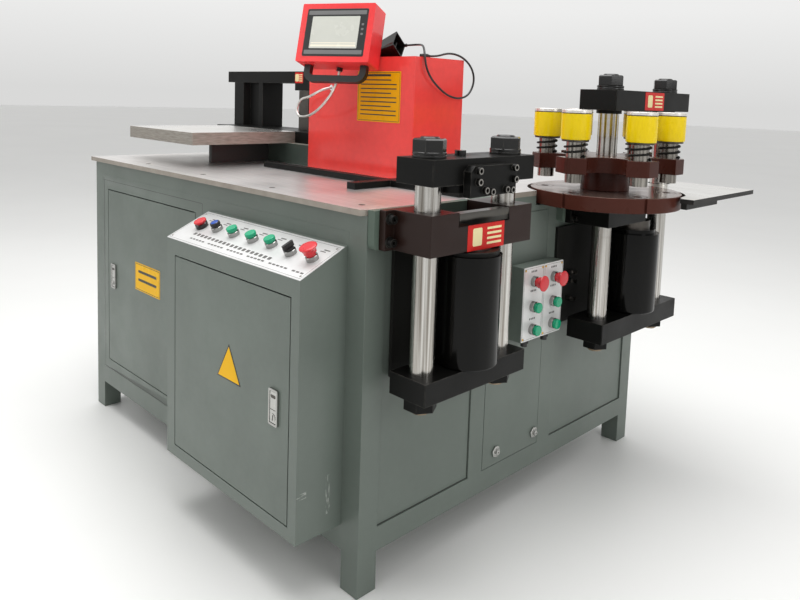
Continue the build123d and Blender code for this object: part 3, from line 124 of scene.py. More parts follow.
class Look:
    """A procedural material on object coordinates."""

    def __init__(self, name, rough=0.5, metallic=0.0, specular=0.5):
        self.mat = bpy.data.materials.new(name)
        self.mat.use_nodes = True
        self.nt = self.mat.node_tree
        self.shader = self.nt.nodes["Principled BSDF"]
        self.shader.inputs["Roughness"].default_value = rough
        self.shader.inputs["Metallic"].default_value = metallic
        self.shader.inputs["Specular IOR Level"].default_value = specular
        self.coords = self.nt.nodes.new("ShaderNodeTexCoord").outputs["Object"]

    def node(self, kind, **values):
        made = self.nt.nodes.new(kind)
        for key, value in values.items():
            setattr(made, key, value)
        return made

    def link(self, a, b):
        self.nt.links.new(a, b)

    def put(self, value, socket):
        """Links an output to the socket, or sets a plain value on it."""
        if isinstance(value, bpy.types.NodeSocket):
            self.link(value, socket)
        else:
            socket.default_value = value

    def stretched(self, scale):
        mapping = self.node("ShaderNodeMapping")
        mapping.inputs["Scale"].default_value = scale
        self.link(self.coords, mapping.inputs["Vector"])
        return mapping.outputs["Vector"]

    def noise(self, scale, detail, stretch=None, rough=0.5):
        made = self.node("ShaderNodeTexNoise")
        made.inputs["Scale"].default_value = scale
        made.inputs["Detail"].default_value = detail
        made.inputs["Roughness"].default_value = rough
        self.link(self.stretched(stretch) if stretch else self.coords, made.inputs["Vector"])
        return made.outputs["Fac"]

    def between(self, fac, low, high, to_low=0.0, to_high=1.0):
        made = self.node("ShaderNodeMapRange")
        made.inputs["From Min"].default_value = low
        made.inputs["From Max"].default_value = high
        made.inputs["To Min"].default_value = to_low
        made.inputs["To Max"].default_value = to_high
        self.link(fac, made.inputs["Value"])
        return made.outputs["Result"]

    def full(self, noise, to_low=0.0, to_high=1.0):
        """A noise spread over its whole range."""
        return self.between(noise, NOISE_LOW, NOISE_HIGH, to_low, to_high)

    def uneven(self, low, high, scale=12.0):
        return self.full(self.noise(scale, 4.0), low, high)

    def math(self, operation, a, b):
        made = self.node("ShaderNodeMath", operation=operation)
        self.put(a, made.inputs[0])
        self.put(b, made.inputs[1])
        return made.outputs["Value"]

    def most(self, *values):
        """The largest of several values, so either of several masks."""
        total = values[0]
        for value in values[1:]:
            total = self.math("MAXIMUM", total, value)
        return total

    def mix(self, fac, a, b):
        """A colour between a and b."""
        made = self.node("ShaderNodeMix", data_type="RGBA")
        self.put(fac, made.inputs["Factor"])
        self.put(a, made.inputs[COLOUR_A])
        self.put(b, made.inputs[COLOUR_B])
        return made.outputs[COLOUR_OUT]

    def mixed(self, fac, a, b):
        """A number between a and b."""
        made = self.node("ShaderNodeMix", data_type="FLOAT")
        self.put(fac, made.inputs["Factor"])
        self.put(a, made.inputs[NUMBER_A])
        self.put(b, made.inputs[NUMBER_B])
        return made.outputs[NUMBER_OUT]

    def colour(self, value):
        self.link(value, self.shader.inputs["Base Color"])

    def roughness(self, value):
        self.link(value, self.shader.inputs["Roughness"])

    def metal(self, value):
        self.link(value, self.shader.inputs["Metallic"])

    def bump(self, height, strength, distance):
        made = self.node("ShaderNodeBump")
        made.inputs["Strength"].default_value = strength
        made.inputs["Distance"].default_value = distance
        self.link(height, made.inputs["Height"])
        self.link(made.outputs["Normal"], self.shader.inputs["Normal"])

    def split(self, vector):
        made = self.node("ShaderNodeSeparateXYZ")
        self.link(vector, made.inputs["Vector"])
        return made.outputs

    def above(self, limit, axis=2):
        """1 where the coordinate, in metres, is over the limit."""
        return self.math("GREATER_THAN", self.split(self.coords)[axis], limit)

    def below(self, limit, axis=2):
        return self.math("LESS_THAN", self.split(self.coords)[axis], limit)

    def vector(self, operation, a, b=None):
        made = self.node("ShaderNodeVectorMath", operation=operation)
        self.put(a, made.inputs[0])
        if b is not None:
            self.put(b, made.inputs[1])
        return made.outputs["Value" if operation == "DOT_PRODUCT" else "Vector"]

    def inside(self, low, high):
        """1 between two corners given in millimetres, 0 elsewhere."""
        spans = list(zip(tuple(at(*low)), tuple(at(*high))))
        offset = self.vector("SUBTRACT", self.coords, [(a + b) / 2 for a, b in spans])
        size = self.vector("ABSOLUTE", offset)
        over = self.vector("SUBTRACT", size, [(b - a) / 2 for a, b in spans])
        return self.math("LESS_THAN", self.most(*self.split(over)), 0.0)

    def along(self, direction, origin):
        """Distance from a plane through origin, in metres."""
        offset = self.vector("SUBTRACT", self.coords, origin)
        return self.vector("DOT_PRODUCT", offset, direction)

    def facing_up(self):
        """1 on tops, 0 on sides."""
        normal = self.node("ShaderNodeNewGeometry").outputs["Normal"]
        return self.math("GREATER_THAN", self.split(normal)[2], TOP_SLOPE)

    def edges(self, radius):
        """1 along sharp edges, 0 on the flat."""
        rounded = self.node("ShaderNodeBevel", samples=6)
        rounded.inputs["Radius"].default_value = radius
        normal = self.node("ShaderNodeNewGeometry").outputs["Normal"]
        dot = self.vector("DOT_PRODUCT", rounded.outputs["Normal"], normal)
        return self.between(dot, 0.99, 0.90)

    def cloudy(self, rgb, spread, scale=5.0, fine=60.0):
        """The colour a little lighter and darker in large clouds and small ones."""
        broad = self.mix(self.full(self.noise(scale, 4.0)), *around(rgb, spread))
        small = self.mix(self.full(self.noise(fine, 2.0)), *around(rgb, spread / 2))
        return self.mix(FINE_SHARE, broad, small)


def paint(name, rgb, rough, spread, peel=0.10, peel_scale=420.0, specular=0.5):
    look = Look(name, specular=specular)
    look.colour(look.cloudy(rgb, spread))
    look.roughness(look.uneven(rough - 0.06, rough + 0.08))
    look.bump(look.noise(peel_scale, 2.0), peel, 0.0006)
    return look


def steel(name, rgb, rough, stretch, scale, spread, groove):
    """Bright steel with streaks, which a stretch of (1, 1, 1) leaves as spots."""
    look = Look(name, metallic=1.0)
    streaks = look.noise(scale, 6.0, stretch)
    clouds = look.noise(6.0, 4.0)
    streaked = look.mix(look.full(streaks), *around(rgb, spread))
    dull = look.between(clouds, 0.35, 0.75, 0, 0.35)
    look.colour(look.mix(dull, streaked, scaled(rgb, 1 - 2 * spread)))
    look.roughness(look.full(streaks, rough - 0.05, rough + 0.08))
    look.bump(streaks, groove, 0.0002)
    return look


def black_metal(name, beam_top=None):
    """Black paint lighter along its edges, partly wear and partly painted highlight; the nuts above a
    beam are glossier.
    """
    look = Look(name, specular=0.14)
    patches = look.between(look.noise(60.0, 4.0), 0.36, 0.62, 0.15, 1.0)
    # Edges lightened in colour: wear, and a painted highlight standing in for glints on the edges.
    wear_and_highlight = look.math("MULTIPLY", look.edges(0.0028), patches)
    look.colour(look.mix(wear_and_highlight, look.cloudy((15, 15, 14), 0.10), tone(72, 70, 66)))
    rough = look.uneven(0.32, 0.46)
    if beam_top:
        nut = look.above(beam_top)
        look.link(look.mixed(nut, 0.14, 0.5), look.shader.inputs["Specular IOR Level"])
        rough = look.mixed(nut, rough, 0.2)
    look.roughness(rough)
    look.bump(look.noise(300.0, 2.0), 0.14, 0.0006)
    return look


CABINET = (102, 111, 104)
cabinet_paint = paint("cabinet_paint", CABINET, 0.34, 0.04, specular=0.4)
black_satin = black_metal("black_satin")
black_gloss = paint("black_gloss", (17, 17, 15), 0.14, 0.08, 0.02, 120.0, specular=0.4)
hose_steel = steel("hose_steel", (214, 212, 208), 0.36, (1, 1, 1), 60.0, 0.06, 0.02)
latch_chrome = steel("latch_chrome", (184, 184, 181), 0.22, (1, 1, 1), 30.0, 0.04, 0.02)
dull_steel = steel("dull_steel", (158, 155, 150), 0.30, (1, 1, 1), 40.0, 0.10, 0.06)
dark_steel = steel("dark_steel", (88, 84, 80), 0.33, (1, 1, 1), 30.0, 0.10, 0.05)
red_plastic = paint("red_plastic", (206, 34, 44), 0.22, 0.03, 0.03, 500.0)
green_plastic = paint("green_plastic", (0, 156, 112), 0.14, 0.03, 0.02, 500.0)
blue_plastic = paint("blue_plastic", (24, 74, 164), 0.22, 0.03, 0.02, 500.0)
black_plastic = paint("black_plastic", (26, 26, 26), 0.42, 0.08, 0.15, 700.0)
black_rubber = paint("black_rubber", (22, 22, 23), 0.33, 0.08, 0.05, 500.0)
brass = steel("brass", (202, 166, 96), 0.22, (1, 1, 1), 30.0, 0.06, 0.02)
yellow_label = paint("yellow_label", (242, 186, 8), 0.30, 0.03, 0.03, 300.0, specular=0.12)
urethane = paint("urethane", (240, 208, 12), 0.22, 0.02, 0.008, 300.0, specular=0.3)
sheet_yellow = paint("sheet_yellow", (240, 168, 14), 0.30, 0.04, 0.03, 300.0, specular=0.1)
red_label = paint("red_label", (206, 36, 30), 0.28, 0.03, 0.03, 300.0, specular=0.2)
ink = paint("ink", (40, 38, 36), 0.45, 0.04, 0.02, 300.0)
cream = paint("cream", (240, 226, 170), 0.4, 0.03, 0.02, 300.0)

# Where one node's pieces are told apart, in metres: heights, and a door's or plate's face
SHEAR_PLATE_LOW, SHEAR_BEAM_TOP = 0.4379, 0.9621
PUNCH_PLATE_LOW, PUNCH_BEAM_TOP = 0.4156, 1.1181
PUNCH_LID, PUNCH_LID_TOP = 1.0542, 1.0564
BENDING_WEB_TOP = 0.9168
COVER_TOP = 1.19305
HAND_BOX_FOOT = 0.4759
HAND_PLATE_FACE = 0.07705
TOOL_DOOR_FACE, ELECTRIC_DOOR_FACE = -0.0277, -0.1502
HAIR = 0.0001


def table_look():
    """Rolled steel: long streaks, faint smudges, duller sides."""
    look = Look("table_steel")
    streaks = look.noise(6.0, 7.0, (1.0, 26.0, 1.0), 0.6)
    clouds = look.noise(3.0, 5.0)
    top = look.mix(look.full(streaks), tone(208, 206, 205), tone(236, 234, 232))
    top = look.mix(look.between(clouds, 0.45, 0.8, 0, 0.45), top, tone(184, 177, 172))
    side = look.mix(look.full(look.noise(30.0, 3.0)), tone(148, 140, 130), tone(162, 154, 144))
    up_face = look.facing_up()
    look.colour(look.mix(up_face, side, top))
    look.metal(look.mixed(up_face, 0.25, 1.0))
    look.roughness(look.mixed(up_face, 0.5, look.full(clouds, 0.33, 0.46)))
    look.bump(streaks, 0.06, 0.0003)
    return look


def plate_look(name, side_low, side_high, painted_shade_below=None):
    """A thick plate with a bright top and a sawn edge; the web under it is painted dark as shade."""
    look = Look(name)
    streaks = look.noise(8.0, 7.0, (1.0, 22.0, 1.0), 0.6)
    clouds = look.noise(5.0, 5.0)
    up_face = look.facing_up()
    top = look.mix(look.full(streaks), tone(216, 214, 209), tone(244, 243, 240))
    top = look.mix(look.between(clouds, 0.45, 0.8, 0, 0.35), top, tone(186, 180, 172))
    sawn = look.full(look.noise(30.0, 4.0, (1, 1, 9)))
    side = look.mix(sawn, tone(*side_low), tone(*side_high))
    colour = look.mix(up_face, side, top)
    metal = look.mixed(up_face, 0.4, 1.0)
    if painted_shade_below:
        # Below the plate the web is painted dark: painted shade from the plate's overhang.
        web = look.below(painted_shade_below)
        colour = look.mix(web, colour, tone(38, 37, 36))
        metal = look.mixed(web, metal, 0.0)
    look.colour(colour)
    look.metal(metal)
    look.roughness(look.mixed(up_face, 0.48, look.full(clouds, 0.22, 0.36)))
    look.bump(look.noise(90.0, 4.0, (1, 1, 6)), 0.06, 0.0004)
    return look


def two_part(name, base, other, mask_of, base_finish, other_finish, peel=0.1,
             peel_scale=300.0, specular=0.5):
    """One node's pieces told apart by place. A finish is (roughness, metal)."""
    look = Look(name, specular=specular)
    mask = mask_of(look)
    look.colour(look.mix(mask, look.cloudy(base, 0.07), look.cloudy(other, 0.05, 9.0)))
    rough = look.mixed(mask, base_finish[0], other_finish[0])
    look.roughness(look.math("ADD", rough, look.uneven(-0.05, 0.06, 14.0)))
    look.metal(look.mixed(mask, base_finish[1], other_finish[1]))
    look.bump(look.noise(peel_scale, 2.0), peel, 0.0005)
    return look


shear_beam_look = two_part(
    "shear_beam", (40, 26, 22), (92, 90, 86),
    lambda look: look.inside((118, 124, 824), (142, 290, 850.3)),
    (0.34, 0.0), (0.32, 1.0), specular=0.22)


def rod_look(name, plate_low, beam_high):
    """A ground rod with fine light and dark streaks along it, partly grinding marks and partly
    painted reflection, faint marks round it and dark threaded ends.
    """
    look = Look(name)
    # The light and dark streaks stand partly for a painted reflection of the surroundings along the
    # rod.
    streaks = look.between(look.noise(170.0, 5.0, (1, 1, 0.012)), 0.32, 0.68)
    rings = look.between(look.noise(5.0, 4.0, (0.2, 0.2, 9.0)), 0.6, 0.75, 0, 0.25)
    rod = look.mix(streaks, tone(128, 122, 114), tone(222, 220, 216))
    rod = look.mix(rings, rod, tone(118, 106, 92))
    low_end = look.below(plate_low)
    ends = look.most(low_end, look.above(beam_high))
    dark_ends = look.mix(ends, rod, tone(30, 29, 27))
    look.colour(look.mix(low_end, dark_ends, tone(150, 132, 108)))
    look.metal(look.mixed(ends, 1.0, 0.2))
    look.roughness(look.between(streaks, 0.0, 1.0, 0.16, 0.27))
    look.bump(streaks, 0.03, 0.0002)
    return look


column_look = rod_look("column", SHEAR_PLATE_LOW, SHEAR_BEAM_TOP)
punch_column_look = rod_look("punch_column", PUNCH_PLATE_LOW, PUNCH_BEAM_TOP)
TURRET = at(90.8, 778, 0)

# The slanted control plate rises from the electric box's front face to the cabinet's
BOX_FACE = -122.5
CONSOLE_LOW, CONSOLE_HIGH = 709, 766.5
slope = math.atan2(CONSOLE_HIGH - CONSOLE_LOW, -BOX_FACE)
C_UP = Vector((0, math.cos(slope), math.sin(slope)))
C_OUT = Vector((0, -math.sin(slope), math.cos(slope)))
CONSOLE_PLATE = 1.5


def on_console(u, w, n=CONSOLE_PLATE):
    """A point of the control plate, in millimetres from its lower edge."""
    return at(u, BOX_FACE, CONSOLE_LOW) + (w * C_UP + n * C_OUT) / 1000


carrier_look = two_part(
    "turret_carrier", (66, 33, 26), (92, 66, 58), Look.facing_up,
    (0.28, 0.0), (0.24, 0.5), 0.05, specular=0.14)
disc_look = two_part(
    "die_disc", (74, 39, 31), (124, 104, 96), Look.facing_up,
    (0.30, 0.0), (0.20, 0.7), 0.05, specular=0.14)


def make_punch_look():
    """Dark steel stem; a light lid over a dark line."""
    look = Look("punch")
    lid = look.above(PUNCH_LID)
    top = look.above(PUNCH_LID_TOP)
    stem = look.cloudy((96, 93, 90), 0.12, 30.0, 140.0)
    colour = look.mix(lid, stem, tone(44, 38, 30))
    look.colour(look.mix(top, colour, look.cloudy((226, 222, 216), 0.04, 30.0)))
    look.metal(look.mixed(lid, 1.0, look.mixed(top, 0.0, 0.5)))
    look.roughness(look.uneven(0.2, 0.32, 40.0))
    look.bump(look.noise(200.0, 2.0), 0.03, 0.0003)
    return look


punch_look = make_punch_look()
station_look = two_part(
    "station_plates", (30, 30, 28), (92, 106, 96),
    lambda look: look.inside((-1, -60, 757.5), (20.01, 1200, 851)),
    (0.40, 0.0), (0.50, 0.0), 0.4, 140.0, specular=0.25)
cover_look = two_part(
    "red_cover", (246, 70, 65), (30, 30, 30), lambda look: look.above(COVER_TOP),
    (0.20, 0.0), (0.36, 0.0), 0.05)

SCREEN_YAW = math.radians(24.1)
SCREEN_TILT = math.radians(15)
SCREEN = at(-521.8, 332.9, 1255.7)
SCREEN_HEIGHT, SCREEN_DEPTH = 171.7, 74.5
S_RIGHT = Vector((math.cos(SCREEN_YAW), math.sin(SCREEN_YAW), 0))
S_OUT = Vector((math.cos(SCREEN_TILT) * math.sin(SCREEN_YAW),
                -math.cos(SCREEN_TILT) * math.cos(SCREEN_YAW), math.sin(SCREEN_TILT)))
S_UP = S_OUT.cross(S_RIGHT)


def on_screen(u, v, w=0.0):
    """A point of the screen box from the middle of its face, in millimetres."""
    return SCREEN + (u * S_RIGHT + v * S_UP + w * S_OUT) / 1000


def bezel_and_gland(look):
    """What stands out of the screen box's face or hangs under it."""
    lower_edge = on_screen(0, -SCREEN_HEIGHT / 2)
    return look.most(look.math("GREATER_THAN", look.along(S_OUT, SCREEN), HAIR),
                     look.math("LESS_THAN", look.along(S_UP, lower_edge), -HAIR / 2))


def collars(look):
    """What stands out of the control plate or the hand box's plates."""
    return look.most(look.math("GREATER_THAN", look.along(C_OUT, on_console(0, 0)), HAIR),
                     look.above(HAND_PLATE_FACE, 0))


screen_look = two_part(
    "operator_screen", (238, 58, 60), (22, 24, 24), bezel_and_gland,
    (0.22, 0.0), (0.36, 0.0), 0.05)
barrel_look = paint("barrel", (12, 12, 11), 0.10, 0.08, 0.015, 90.0, specular=0.16)
hand_look = two_part(
    "hand_box", CABINET, (24, 24, 24), lambda look: look.below(HAND_BOX_FOOT),
    (0.36, 0.0), (0.34, 0.0))


def door_look(name, face_y):
    """A painted door whose latch rim, proud of its face, is chrome."""
    return two_part(name, CABINET, (168, 168, 165), lambda look: look.below(face_y, 1),
                    (0.36, 0.0), (0.22, 1.0), specular=0.4)


control_look = two_part(
    "control_plates", (218, 218, 217), (150, 150, 148), collars,
    (0.36, 0.25), (0.10, 1.0), 0.02)
ring_look = paint("button_ring", (24, 22, 23), 0.3, 0.05, 0.02, 300.0)


def scratched_look():
    """The electric box's paint, rubbed in fine strokes low on its open side."""
    look = Look("scratched_paint")
    flat = look.between(look.noise(30.0, 5.0, (1.0, 1.2, 9.0), 0.7), 0.53, 0.57)
    steep = look.between(look.noise(30.0, 5.0, (1.0, 9.0, 1.2), 0.7), 0.53, 0.57)
    across = look.math("MULTIPLY", flat, look.inside((-62, -121, 243), (-56, -96, 257)))
    down = look.math("MULTIPLY", steep, look.inside((-62, -44, 186), (-56, -32, 274)))
    rubbed = look.most(across, down)
    look.colour(look.mix(rubbed, look.cloudy(CABINET, 0.04), tone(158, 162, 156)))
    look.roughness(look.mixed(rubbed, 0.38, 0.5))
    look.bump(look.noise(420.0, 2.0), 0.10, 0.0006)
    return look


# The bender's base is a darkened copy of the cabinet's paint, as painted shade; its tops are lighter
# and half metal.
base_look = two_part(
    "bender_base", (60, 70, 64), (150, 150, 140), Look.facing_up,
    (0.42, 0.0), (0.4, 0.5), 0.2, 200.0)

LOOKS = {
    "cabinet_frame": cabinet_paint, "cabinet_panels": cabinet_paint,
    "tool_door": door_look("tool_door", TOOL_DOOR_FACE),
    "electric_box": scratched_look(),
    "electric_door": door_look("electric_door", ELECTRIC_DOOR_FACE),
    "table_top": table_look(),
    "guide_bars": black_satin, "tool_compartment": cabinet_paint,
    "punch_guides": steel("guide_steel", (140, 136, 130), 0.24, (1, 1, 0.03), 170.0, 0.3, 0.05),
    "extension_plate": plate_look("extension_plate", (26, 25, 24), (44, 42, 40)),
    "bending_table": plate_look("bending_table", (134, 128, 120), (166, 160, 151),
                                BENDING_WEB_TOP),
    "bender_base": base_look,
    "bender_frame": black_satin, "bender_ram": dark_steel, "station_plates": station_look,
    "shear_fixed_beam": shear_beam_look,
    "shear_press_beams": black_metal("shear_press", SHEAR_BEAM_TOP),
    "shear_columns": column_look, "shear_barrel": barrel_look,
    "punch_press_beams": black_metal("punch_press", PUNCH_BEAM_TOP),
    "punch_columns": punch_column_look, "punch_barrel": barrel_look,
    "punch_bed": black_satin, "piston_rods": dark_steel, "turret_carrier": carrier_look,
    "die_disc": disc_look, "turret_springs": urethane, "fixed_screws": black_satin,
    "control_plates": control_look, "hand_box": hand_look, "electric_parts": black_plastic,
    "operator_screen": screen_look, "red_cover": cover_look, "foot_switch": black_gloss,
    "foot_pedal": black_plastic, "foot_cord": black_rubber, "screen_hose": hose_steel,
    "selector_knob": black_plastic, "blue_button": ring_look, "stop_button": red_plastic,
    "emergency_stop": red_plastic, "tool_latch": latch_chrome, "electric_latch": latch_chrome,
    "cam_lock_1": latch_chrome, "cam_lock_2": latch_chrome,
}
for stem, count, look in (("punch", 6, punch_look), ("hand_button", 4, green_plastic),
                          ("green_button", 3, green_plastic), ("hand_stop", 2, red_plastic)):
    for number in range(1, count + 1):
        LOOKS[f"{stem}_{number}"] = look

# Bevel widths in millimetres; the other nodes keep sharp edges
BEVELS = {
    "cabinet_frame": 2.0, "cabinet_panels": 0.6, "tool_door": 0.7, "electric_box": 1.2,
    "electric_door": 0.7, "table_top": 1.0, "guide_bars": 1.0, "extension_plate": 1.2,
    "bending_table": 1.8, "bender_base": 1.5,
    "bender_frame": 1.6, "bender_ram": 1.0, "station_plates": 1.5, "shear_fixed_beam": 1.6,
    "shear_press_beams": 1.6, "punch_press_beams": 1.6, "punch_bed": 1.6, "turret_carrier": 1.6,
    "die_disc": 1.6, "operator_screen": 0.9, "red_cover": 1.2, "hand_box": 1.5, "control_plates": 0.4,
    "tool_compartment": 0.6, "fixed_screws": 0.7, "foot_switch": 1.0,
}
SHARP = math.radians(35)


def dress(obj, look):
    obj.data.materials.clear()
    obj.data.materials.append(look.mat)


def smooth_faces(mesh):
    for face in mesh.polygons:
        face.use_smooth = True


def split_edges(obj):
    edges = obj.modifiers.new("edges", "EDGE_SPLIT")
    edges.split_angle = SHARP


for name, obj in nodes.items():
    dress(obj, LOOKS[name])
    smooth_faces(obj.data)
    weld = obj.modifiers.new("weld", "WELD")
    weld.merge_threshold = 0.00001
    if name in BEVELS:
        bevel = obj.modifiers.new("bevel", "BEVEL")
        bevel.width = BEVELS[name] / 1000
        bevel.segments = 2
        bevel.limit_method = "ANGLE"
        bevel.angle_limit = SHARP
        bevel.use_clamp_overlap = True
        flat = obj.modifiers.new("flat", "WEIGHTED_NORMAL")
        flat.mode = "FACE_AREA"
        flat.weight = 100
    else:
        split_edges(obj)


# Helpers that make pieces
def add_piece(name, mesh, look, body, split=True):
    obj = bpy.data.objects.new(name, mesh)
    scene.collection.objects.link(obj)
    dress(obj, look)
    smooth_faces(mesh)
    if split:
        split_edges(obj)
    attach(obj, body)
    return obj


def to_mesh(bm, name):
    mesh = bpy.data.meshes.new(name)
    bmesh.ops.recalc_face_normals(bm, faces=bm.faces)
    bm.to_mesh(mesh)
    bm.free()
    return mesh


def slab_into(bm, origin, axes, outline, depth, bevel):
    """A flat shape: outline points (u, v) in mm on a plane, raised by depth mm out of it."""
    u_dir, v_dir, out = axes
    low = [bm.verts.new(origin + (u * u_dir + v * v_dir) / 1000) for u, v in outline]
    face = bm.faces.new(low)
    raised = bmesh.ops.extrude_face_region(bm, geom=[face])
    tops = [e for e in raised["geom"] if isinstance(e, bmesh.types.BMVert)]
    bmesh.ops.translate(bm, verts=tops, vec=out * depth / 1000)
    if bevel:
        rim = [e for e in bm.edges if all(v in tops for v in e.verts)]
        bmesh.ops.bevel(bm, geom=rim, offset=bevel / 1000, segments=2, affect="EDGES",
                        profile=0.5)


CORNER_STEPS = 4


def rectangle(u0, u1, v0, v1, radius=0.0):
    if not radius:
        return [(u0, v0), (u1, v0), (u1, v1), (u0, v1)]
    points = []
    for cu, cv, start in ((u1 - radius, v0 + radius, -90), (u1 - radius, v1 - radius, 0),
                          (u0 + radius, v1 - radius, 90), (u0 + radius, v0 + radius, 180)):
        for k in range(CORNER_STEPS + 1):
            a = math.radians(start + 90 * k / CORNER_STEPS)
            points.append((cu + radius * math.cos(a), cv + radius * math.sin(a)))
    return points


def border(u0, u1, v0, v1, width, lift, depth):
    """Four thin bars just inside a rectangle."""
    bars = ((u0, u1, v0, v0 + width), (u0, u1, v1 - width, v1),
            (u0, u0 + width, v0, v1), (u1 - width, u1, v0, v1))
    return [(rectangle(*bar), lift, depth) for bar in bars]


def circle(centre, radius, side, other, count):
    """Points round a centre, all in metres."""
    angles = (2 * math.pi * k / count for k in range(count))
    return [centre + radius * (math.cos(a) * side + math.sin(a) * other) for a in angles]


def lathe_into(bm, origin, axis, profile, count, closed):
    """Turns (radius, height) points in mm round an axis."""
    axis = axis.normalized()
    side = axis.orthogonal().normalized()
    other = axis.cross(side)
    rings = []
    for radius, height in profile:
        centre = origin + axis * height / 1000
        around_axis = circle(centre, radius / 1000, side, other, count) if radius else [centre]
        rings.append([bm.verts.new(point) for point in around_axis])
    pairs = list(zip(rings, rings[1:])) + ([(rings[-1], rings[0])] if closed else [])
    for low, high in pairs:
        for k in range(count):
            j = (k + 1) % count
            if len(low) == 1:
                bm.faces.new((low[0], high[k], high[j]))
            elif len(high) == 1:
                bm.faces.new((low[k], low[j], high[0]))
            else:
                bm.faces.new((low[k], low[j], high[j], high[k]))


def lathe(name, origin, axis, profile, look, body, count, closed=False):
    bm = bmesh.new()
    lathe_into(bm, origin, axis, profile, count, closed)
    return add_piece(name, to_mesh(bm, name), look, body)


def slabs(name, origin, axes, shapes, look, body, bevel=0.0):
    """Several flat shapes in one piece. A shape is (outline, lift, depth)."""
    bm = bmesh.new()
    for outline, lift, depth in shapes:
        slab_into(bm, origin + axes[2] * lift / 1000, axes, outline, depth, bevel)
    return add_piece(name, to_mesh(bm, name), look, body)


def tube_mesh(name, points, radius, sides, ribs=None):
    """A tube along points; ribs gives each ring's share of the radius."""
    bm = bmesh.new()
    points = [Vector(p) for p in points]
    tangent = (points[1] - points[0]).normalized()
    side = tangent.orthogonal().normalized()
    rings = []
    for k, point in enumerate(points):
        ahead = points[min(k + 1, len(points) - 1)] - points[max(k - 1, 0)]
        ahead.normalize()
        side = (side - side.dot(ahead) * ahead).normalized()
        other = ahead.cross(side)
        here = radius * (ribs(k) if ribs else 1.0)
        rings.append([bm.verts.new(p) for p in circle(point, here, side, other, sides)])
    for low, high in zip(rings, rings[1:]):
        for j in range(sides):
            bm.faces.new((low[j], low[(j + 1) % sides], high[(j + 1) % sides], high[j]))
    bm.faces.new(list(reversed(rings[0])))
    bm.faces.new(rings[-1])
    return to_mesh(bm, name)


def spline(name, points, bevel=0.0):
    """A smooth NURBS curve through the pull of its points."""
    data = bpy.data.curves.new(name, "CURVE")
    data.dimensions = "3D"
    line = data.splines.new("NURBS")
    line.points.add(len(points) - 1)
    for knot, p in zip(line.points, points):
        knot.co = (*p, 1.0)
    line.order_u = 3
    line.use_endpoint_u = True
    line.resolution_u = 8
    data.bevel_depth = bevel
    data.bevel_resolution = 4
    obj = bpy.data.objects.new(name, data)
    scene.collection.objects.link(obj)
    return obj


def line_of(points):
    """Points read from the smooth curve of a route."""
    probe = spline("probe", points)
    mesh = bpy.data.meshes.new_from_object(probe)
    found = [v.co.copy() for v in mesh.vertices]
    bpy.data.objects.remove(probe)
    bpy.data.meshes.remove(mesh)
    return found


# The foot switch's cord
FOOT_ROUTE = places([
    (-421, 518, 1230.5), (-396, 526, 1232), (-366, 520, 1231), (-339, 501, 1226), (-316, 482, 1213),
    (-302, 471, 1190), (-299, 476, 1161), (-299, 496, 1134), (-299, 529, 1109), (-299, 570, 1088),
    (-299, 616, 1081), (-299, 656, 1091), (-299, 679, 1122), (-299, 679, 1154), (-301, 660, 1183),
    (-310, 630, 1205), (-324, 592, 1212), (-338, 556, 1199.1), (-345, 529, 1199.1)])
foot_cord = spline("foot_cord_line", FOOT_ROUTE, 0.003)
foot_cord.data.materials.append(black_rubber.mat)
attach(foot_cord, "machine")
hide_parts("foot_cord")
plug_out = (FOOT_ROUTE[-1] - FOOT_ROUTE[-2]).normalized()
foot_plug = lathe(
    "foot_plug", FOOT_ROUTE[-1], plug_out,
    [(3.2, -7), (3.9, -6), (4.1, 0), (5.6, 0.6), (6.0, 1.4), (6.0, 8), (5.3, 8.6), (5.3, 10),
     (6.0, 10.6), (6.0, 20), (5.5, 20.6), (5.0, 21), (5.0, 25.6), (4.4, 26), (0, 26)],
    black_plastic, "machine", 24)

# The screen's armoured hose, drawn in one fixed shape
HOSE_DEPTH = -SCREEN_DEPTH / 2 - 22
HOSE_TOP = on_screen(0, -SCREEN_HEIGHT / 2 - 9, HOSE_DEPTH)
HOSE_NEXT = on_screen(0, -SCREEN_HEIGHT / 2 - 28, HOSE_DEPTH)
HOSE_ROUTE = [HOSE_TOP, HOSE_NEXT] + places([
    (-542, 355, 1108), (-560, 357, 1085), (-589, 362, 1064), (-624, 370, 1044), (-663, 378, 1027),
    (-703, 387, 1015), (-741, 395, 1010), (-774, 401, 1010), (-791, 405, 1026), (-791, 409, 1050),
    (-774, 412, 1066), (-747, 413, 1070), (-720, 411, 1078), (-694, 411, 1088), (-673, 420, 1098),
    (-665, 442, 1103)])


def even_points(points, step):
    """The same line with points a step apart."""
    out = [points[0]]
    left = step
    for a, b in zip(points, points[1:]):
        length = (b - a).length
        spent = 0.0
        while length - spent >= left:
            spent += left
            out.append(a.lerp(b, spent / length))
            left = step
        left -= length - spent
    out.append(points[-1])
    return out


HOSE_STEP = 0.0011
HOSE_RADIUS = 0.004
GROOVE = 0.90

hose_line = even_points(line_of(HOSE_ROUTE), HOSE_STEP)
hose_mesh = tube_mesh("screen_hose_line", hose_line, HOSE_RADIUS, 12,
                      lambda k: 1.0 if k % 3 else GROOVE)
screen_hose = bpy.data.objects.new("screen_hose_line", hose_mesh)
scene.collection.objects.link(screen_hose)
hose_mesh.materials.append(hose_steel.mat)
smooth_faces(hose_mesh)
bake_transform(screen_hose)
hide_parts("screen_hose")

